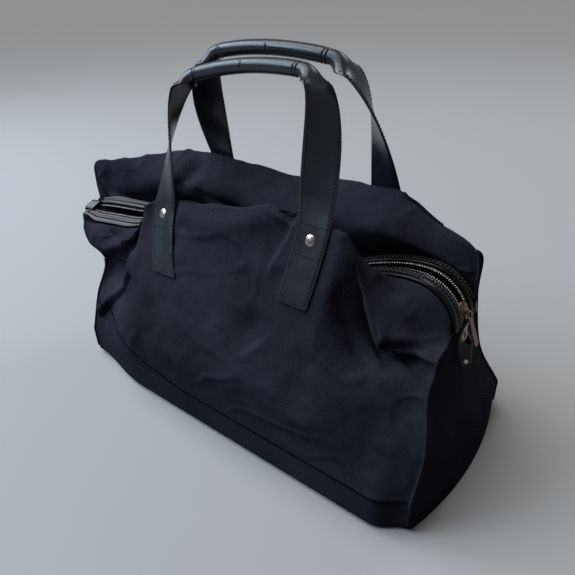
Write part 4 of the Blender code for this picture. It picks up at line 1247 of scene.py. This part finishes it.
# Slider and puller: cast zinc, nickel plated; the slider's two plates run over the teeth.
# A bail ring on its top plate holds the puller's pin, so the puller swings freely.
SLIDER_AT = BEND_START + ZIP_BEND * radians(70)
SLIDER_HALF = 0.0100
SLIDER_WIDE = 0.0078
SLIDER_NOSE = 0.0056
PLATE_TOP = (-0.0020, -0.0004)
PLATE_LOW = (-0.0056, -0.0040)
NECK_HALF = 0.0028
PIVOT = np.array((0.239748, 0.0, 0.196823))
BAIL_OUTER = 0.0028
BAIL_INNER = 0.0016
BAIL_HALF = 0.0012
PULLER_LEAN = radians(-20)
PULLER_LENGTH = 0.036
PULLER_THICK = 0.0016
PULLER_HALF = 0.0042
PULLER_WAIST = 0.0011
ARM_SPREAD = 0.0031
ARM_HALF = 0.0011
PIN_HALF = 0.0040
PIN_RADIUS = 0.0008


def slider_plate(name, low, top, wide, nose):
    along = np.linspace(-1, 1, 21)
    half = nose + (wide - nose) * ease((along + 0.9) / 1.2)
    half = half * (1 - np.clip(np.abs(along) - 0.7, 0, 1) ** 2 * 4)
    span = (top - low) / 2
    section = [(-1, -0.5), (-0.86, -1), (0.86, -1), (1, -0.5), (1, 0.5), (0.86, 1), (-0.86, 1), (-1, 0.5)]
    y = half[:, None] * np.array([p[0] for p in section])[None, :]
    rise = (low + top) / 2 + span * np.array([p[1] for p in section])[None, :]
    rings = zip_line(SLIDER_AT + SLIDER_HALF * along[:, None], y, rise)
    return ring_mesh(name, rings[:, ::-1], warm_nickel)


slider = joined("zip_slider_body", [
    slider_plate("plate", *PLATE_TOP, SLIDER_WIDE, SLIDER_NOSE),
    slider_plate("plate", *PLATE_LOW, SLIDER_WIDE, SLIDER_NOSE),
    slider_plate("plate", PLATE_LOW[1] - 0.0002, PLATE_TOP[0] + 0.0002, NECK_HALF, NECK_HALF * 0.6)])
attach(slider, "zip_slider")
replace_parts(slider, "zip_slider")


def squarish(wave, power):
    """A sine or cosine wave pressed towards a square one."""
    return np.sign(wave) * np.abs(wave) ** power


turn = np.linspace(0, 2 * pi, 33)[:-1]
middle_radius = (BAIL_OUTER + BAIL_INNER) / 2
corner = np.linspace(0, 2 * pi, 12, endpoint=False)
band_y = BAIL_HALF * squarish(np.cos(corner), 0.5)
band_out = (BAIL_OUTER - BAIL_INNER) / 2 * squarish(np.sin(corner), 0.5)
loop = np.stack([PIVOT + np.stack(((middle_radius + band_out) * cos(a), band_y,
                                   (middle_radius + band_out) * sin(a)), -1) for a in turn])
loop = np.concatenate((loop, loop[:1]))
bail = ring_mesh("zip_bail", loop[:, ::-1], warm_nickel, closed_ends=False)
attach(bail, "zip_slider")
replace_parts(bail, "slider_bail")


def puller_bar(name, stations, centre, half, thick):
    """A flat rounded bar of the puller, by lengths down from its pivot."""
    corner = np.linspace(0, 2 * pi, 20, endpoint=False)
    flat = squarish(np.cos(corner), 0.35)
    face = squarish(np.sin(corner), 0.35)
    stations, centre, half, thick = np.broadcast_arrays(*(np.asarray(v, float) for v in
                                                          (stations, centre, half, thick)))
    rings = np.stack((face[None, :] * thick[:, None] / 2, centre[:, None] + flat[None, :] * half[:, None],
                      -stations[:, None] + 0 * flat[None, :]), -1)
    lean = np.array(Matrix.Rotation(PULLER_LEAN, 3, "Y"))
    return ring_mesh(name, PIVOT + rings[:, ::-1] @ lean.T, warm_nickel)


down = np.linspace(0.0046, PULLER_LENGTH, 60)
waist = PULLER_HALF - PULLER_WAIST * np.sin(pi * np.clip((down - 0.005) / 0.019, 0, 1))
tip_share = np.maximum(0, down - PULLER_LENGTH + PULLER_HALF) / PULLER_HALF
tip = np.sqrt(np.clip(1 - tip_share**2, 0.002, 1))
arms = np.linspace(-0.0006, 0.0056, 12)
pin = np.linspace(-PIN_RADIUS, PIN_RADIUS, 7)
puller = joined("zip_puller_bar", [
    puller_bar("bar", down, 0.0, waist * tip, PULLER_THICK * (0.55 + 0.45 * tip)),
    puller_bar("bar", arms, ARM_SPREAD, ARM_HALF, PULLER_THICK),
    puller_bar("bar", arms, -ARM_SPREAD, ARM_HALF, PULLER_THICK),
    puller_bar("bar", pin, 0.0, PIN_HALF, 2 * np.sqrt(np.maximum(1e-8, PIN_RADIUS**2 - pin**2)))])
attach(puller, "zip_puller")
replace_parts(puller, "zip_puller")

# Stitching: bonded thread in even locked stitches along the straps' edges and the zip trims.
# Each row is a line of small pills that sit half sunk in the face they hold.
STITCH_PITCH = 0.0042
STITCH_STEP = 0.0005
STITCH_SIZE = (0.0031, 0.0009, 0.0008)
EDGE_MARGIN = 0.0030
CURLED_ROWS = 14
# The straps' thread is near-black, darker than the leather: partly the thread's own colour, partly painted
# shade of the stitch holes.
thread = leather("dark_thread_painted_shade", (0.0010, 0.0011, 0.0015), (0.0026, 0.0028, 0.0036), 0.5, 0.7, 0.2, 0.15)
pale_thread = leather("pale_thread", (0.045, 0.045, 0.048), (0.085, 0.085, 0.09), 0.55, 0.75, 0.2)


def stitch_row(points, facing, start=0.0):
    """Evenly spaced stitch places along a line of points, with directions and normals."""
    gone = lengths_along(points)
    at = np.arange(start + STITCH_PITCH / 2, gone[-1], STITCH_PITCH)

    def read(values, shift=0.0):
        return np.stack([np.interp(at + shift, gone, values[:, k]) for k in range(3)], -1)

    return read(points), read(points, STITCH_STEP) - read(points, -STITCH_STEP), read(facing)


def sewn_rows(name, rows, finish):
    merged = [np.concatenate(parts) for parts in zip(*rows)]
    made = repeated(name, pill, STITCH_SIZE, finish, *merged)
    return made


def column_at(grid, across, value):
    """One line up a strap's face at a share across it."""
    k = int(np.clip(np.searchsorted(across, value), 1, len(across) - 1))
    t = (value - across[k - 1]) / (across[k] - across[k - 1])
    return grid[:, k - 1] * (1 - t) + grid[:, k] * t


def row_at(grid, below):
    """One line across a strap's tail at a length below its fold."""
    at = (STRAP_TAIL - below) / STRAP_TAIL * (TAIL_ROWS - 1)
    k = int(min(at, TAIL_ROWS - 2))
    return grid[k] * (k + 1 - at) + grid[k + 1] * (at - k)


inset = 1 - EDGE_MARGIN / (STRAP_WIDTH / 2)
for (label, hand), (across, outer, facing) in strap_faces.items():
    axes, middle, half, reach = hinges[label]
    rows = []
    for value in (-inset, inset):
        edge_line = column_at(outer, across, value)[1:-CURLED_ROWS]
        edge_facing = column_at(facing, across, value)[1:-CURLED_ROWS]
        rows.append(stitch_row(edge_line, edge_facing, 0.001))
    inner = np.abs(across) < inset
    for below in (STRAP_TAIL - EDGE_MARGIN, STRAP_BOX - 0.002, 0.001):
        rows.append(stitch_row(row_at(outer, below)[inner], row_at(facing, below)[inner]))
    stitches = sewn_rows(f"{label}_{hand}_strap_stitches", rows, thread)
    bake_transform(stitches)

rows = []
lengths = np.linspace(0.003, ZIP_LENGTH - 0.003, 400)
for side in (-1, 1):
    for y, rise in ((0.0146, 0.0003), (0.0190, 0.0004)):
        point, along, facing = zip_frame(lengths, side * y, rise)
        rows.append(stitch_row(point, unit(facing)))
trim_stitches = sewn_rows("trim_stitches", rows, pale_thread)
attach(trim_stitches, "bag")

# Stiffening inside: a fibre board on the bottom and caps behind the rivets.
# They are seen only through the open mouth, so the solids stay and take a plain finish.
board_fibre = leather("board_fibre", (0.05, 0.042, 0.033), (0.10, 0.085, 0.068), 0.7, 0.9, 0.8)
hidden = {"base_board": board_fibre}
hidden.update({node + "_cap": polished_nickel for node in rivet_nodes})
for node, finish in hidden.items():
    for slot in bpy.data.objects[node].material_slots:
        slot.material = finish

for template in (pill, dome_template):
    bpy.data.objects.remove(template)
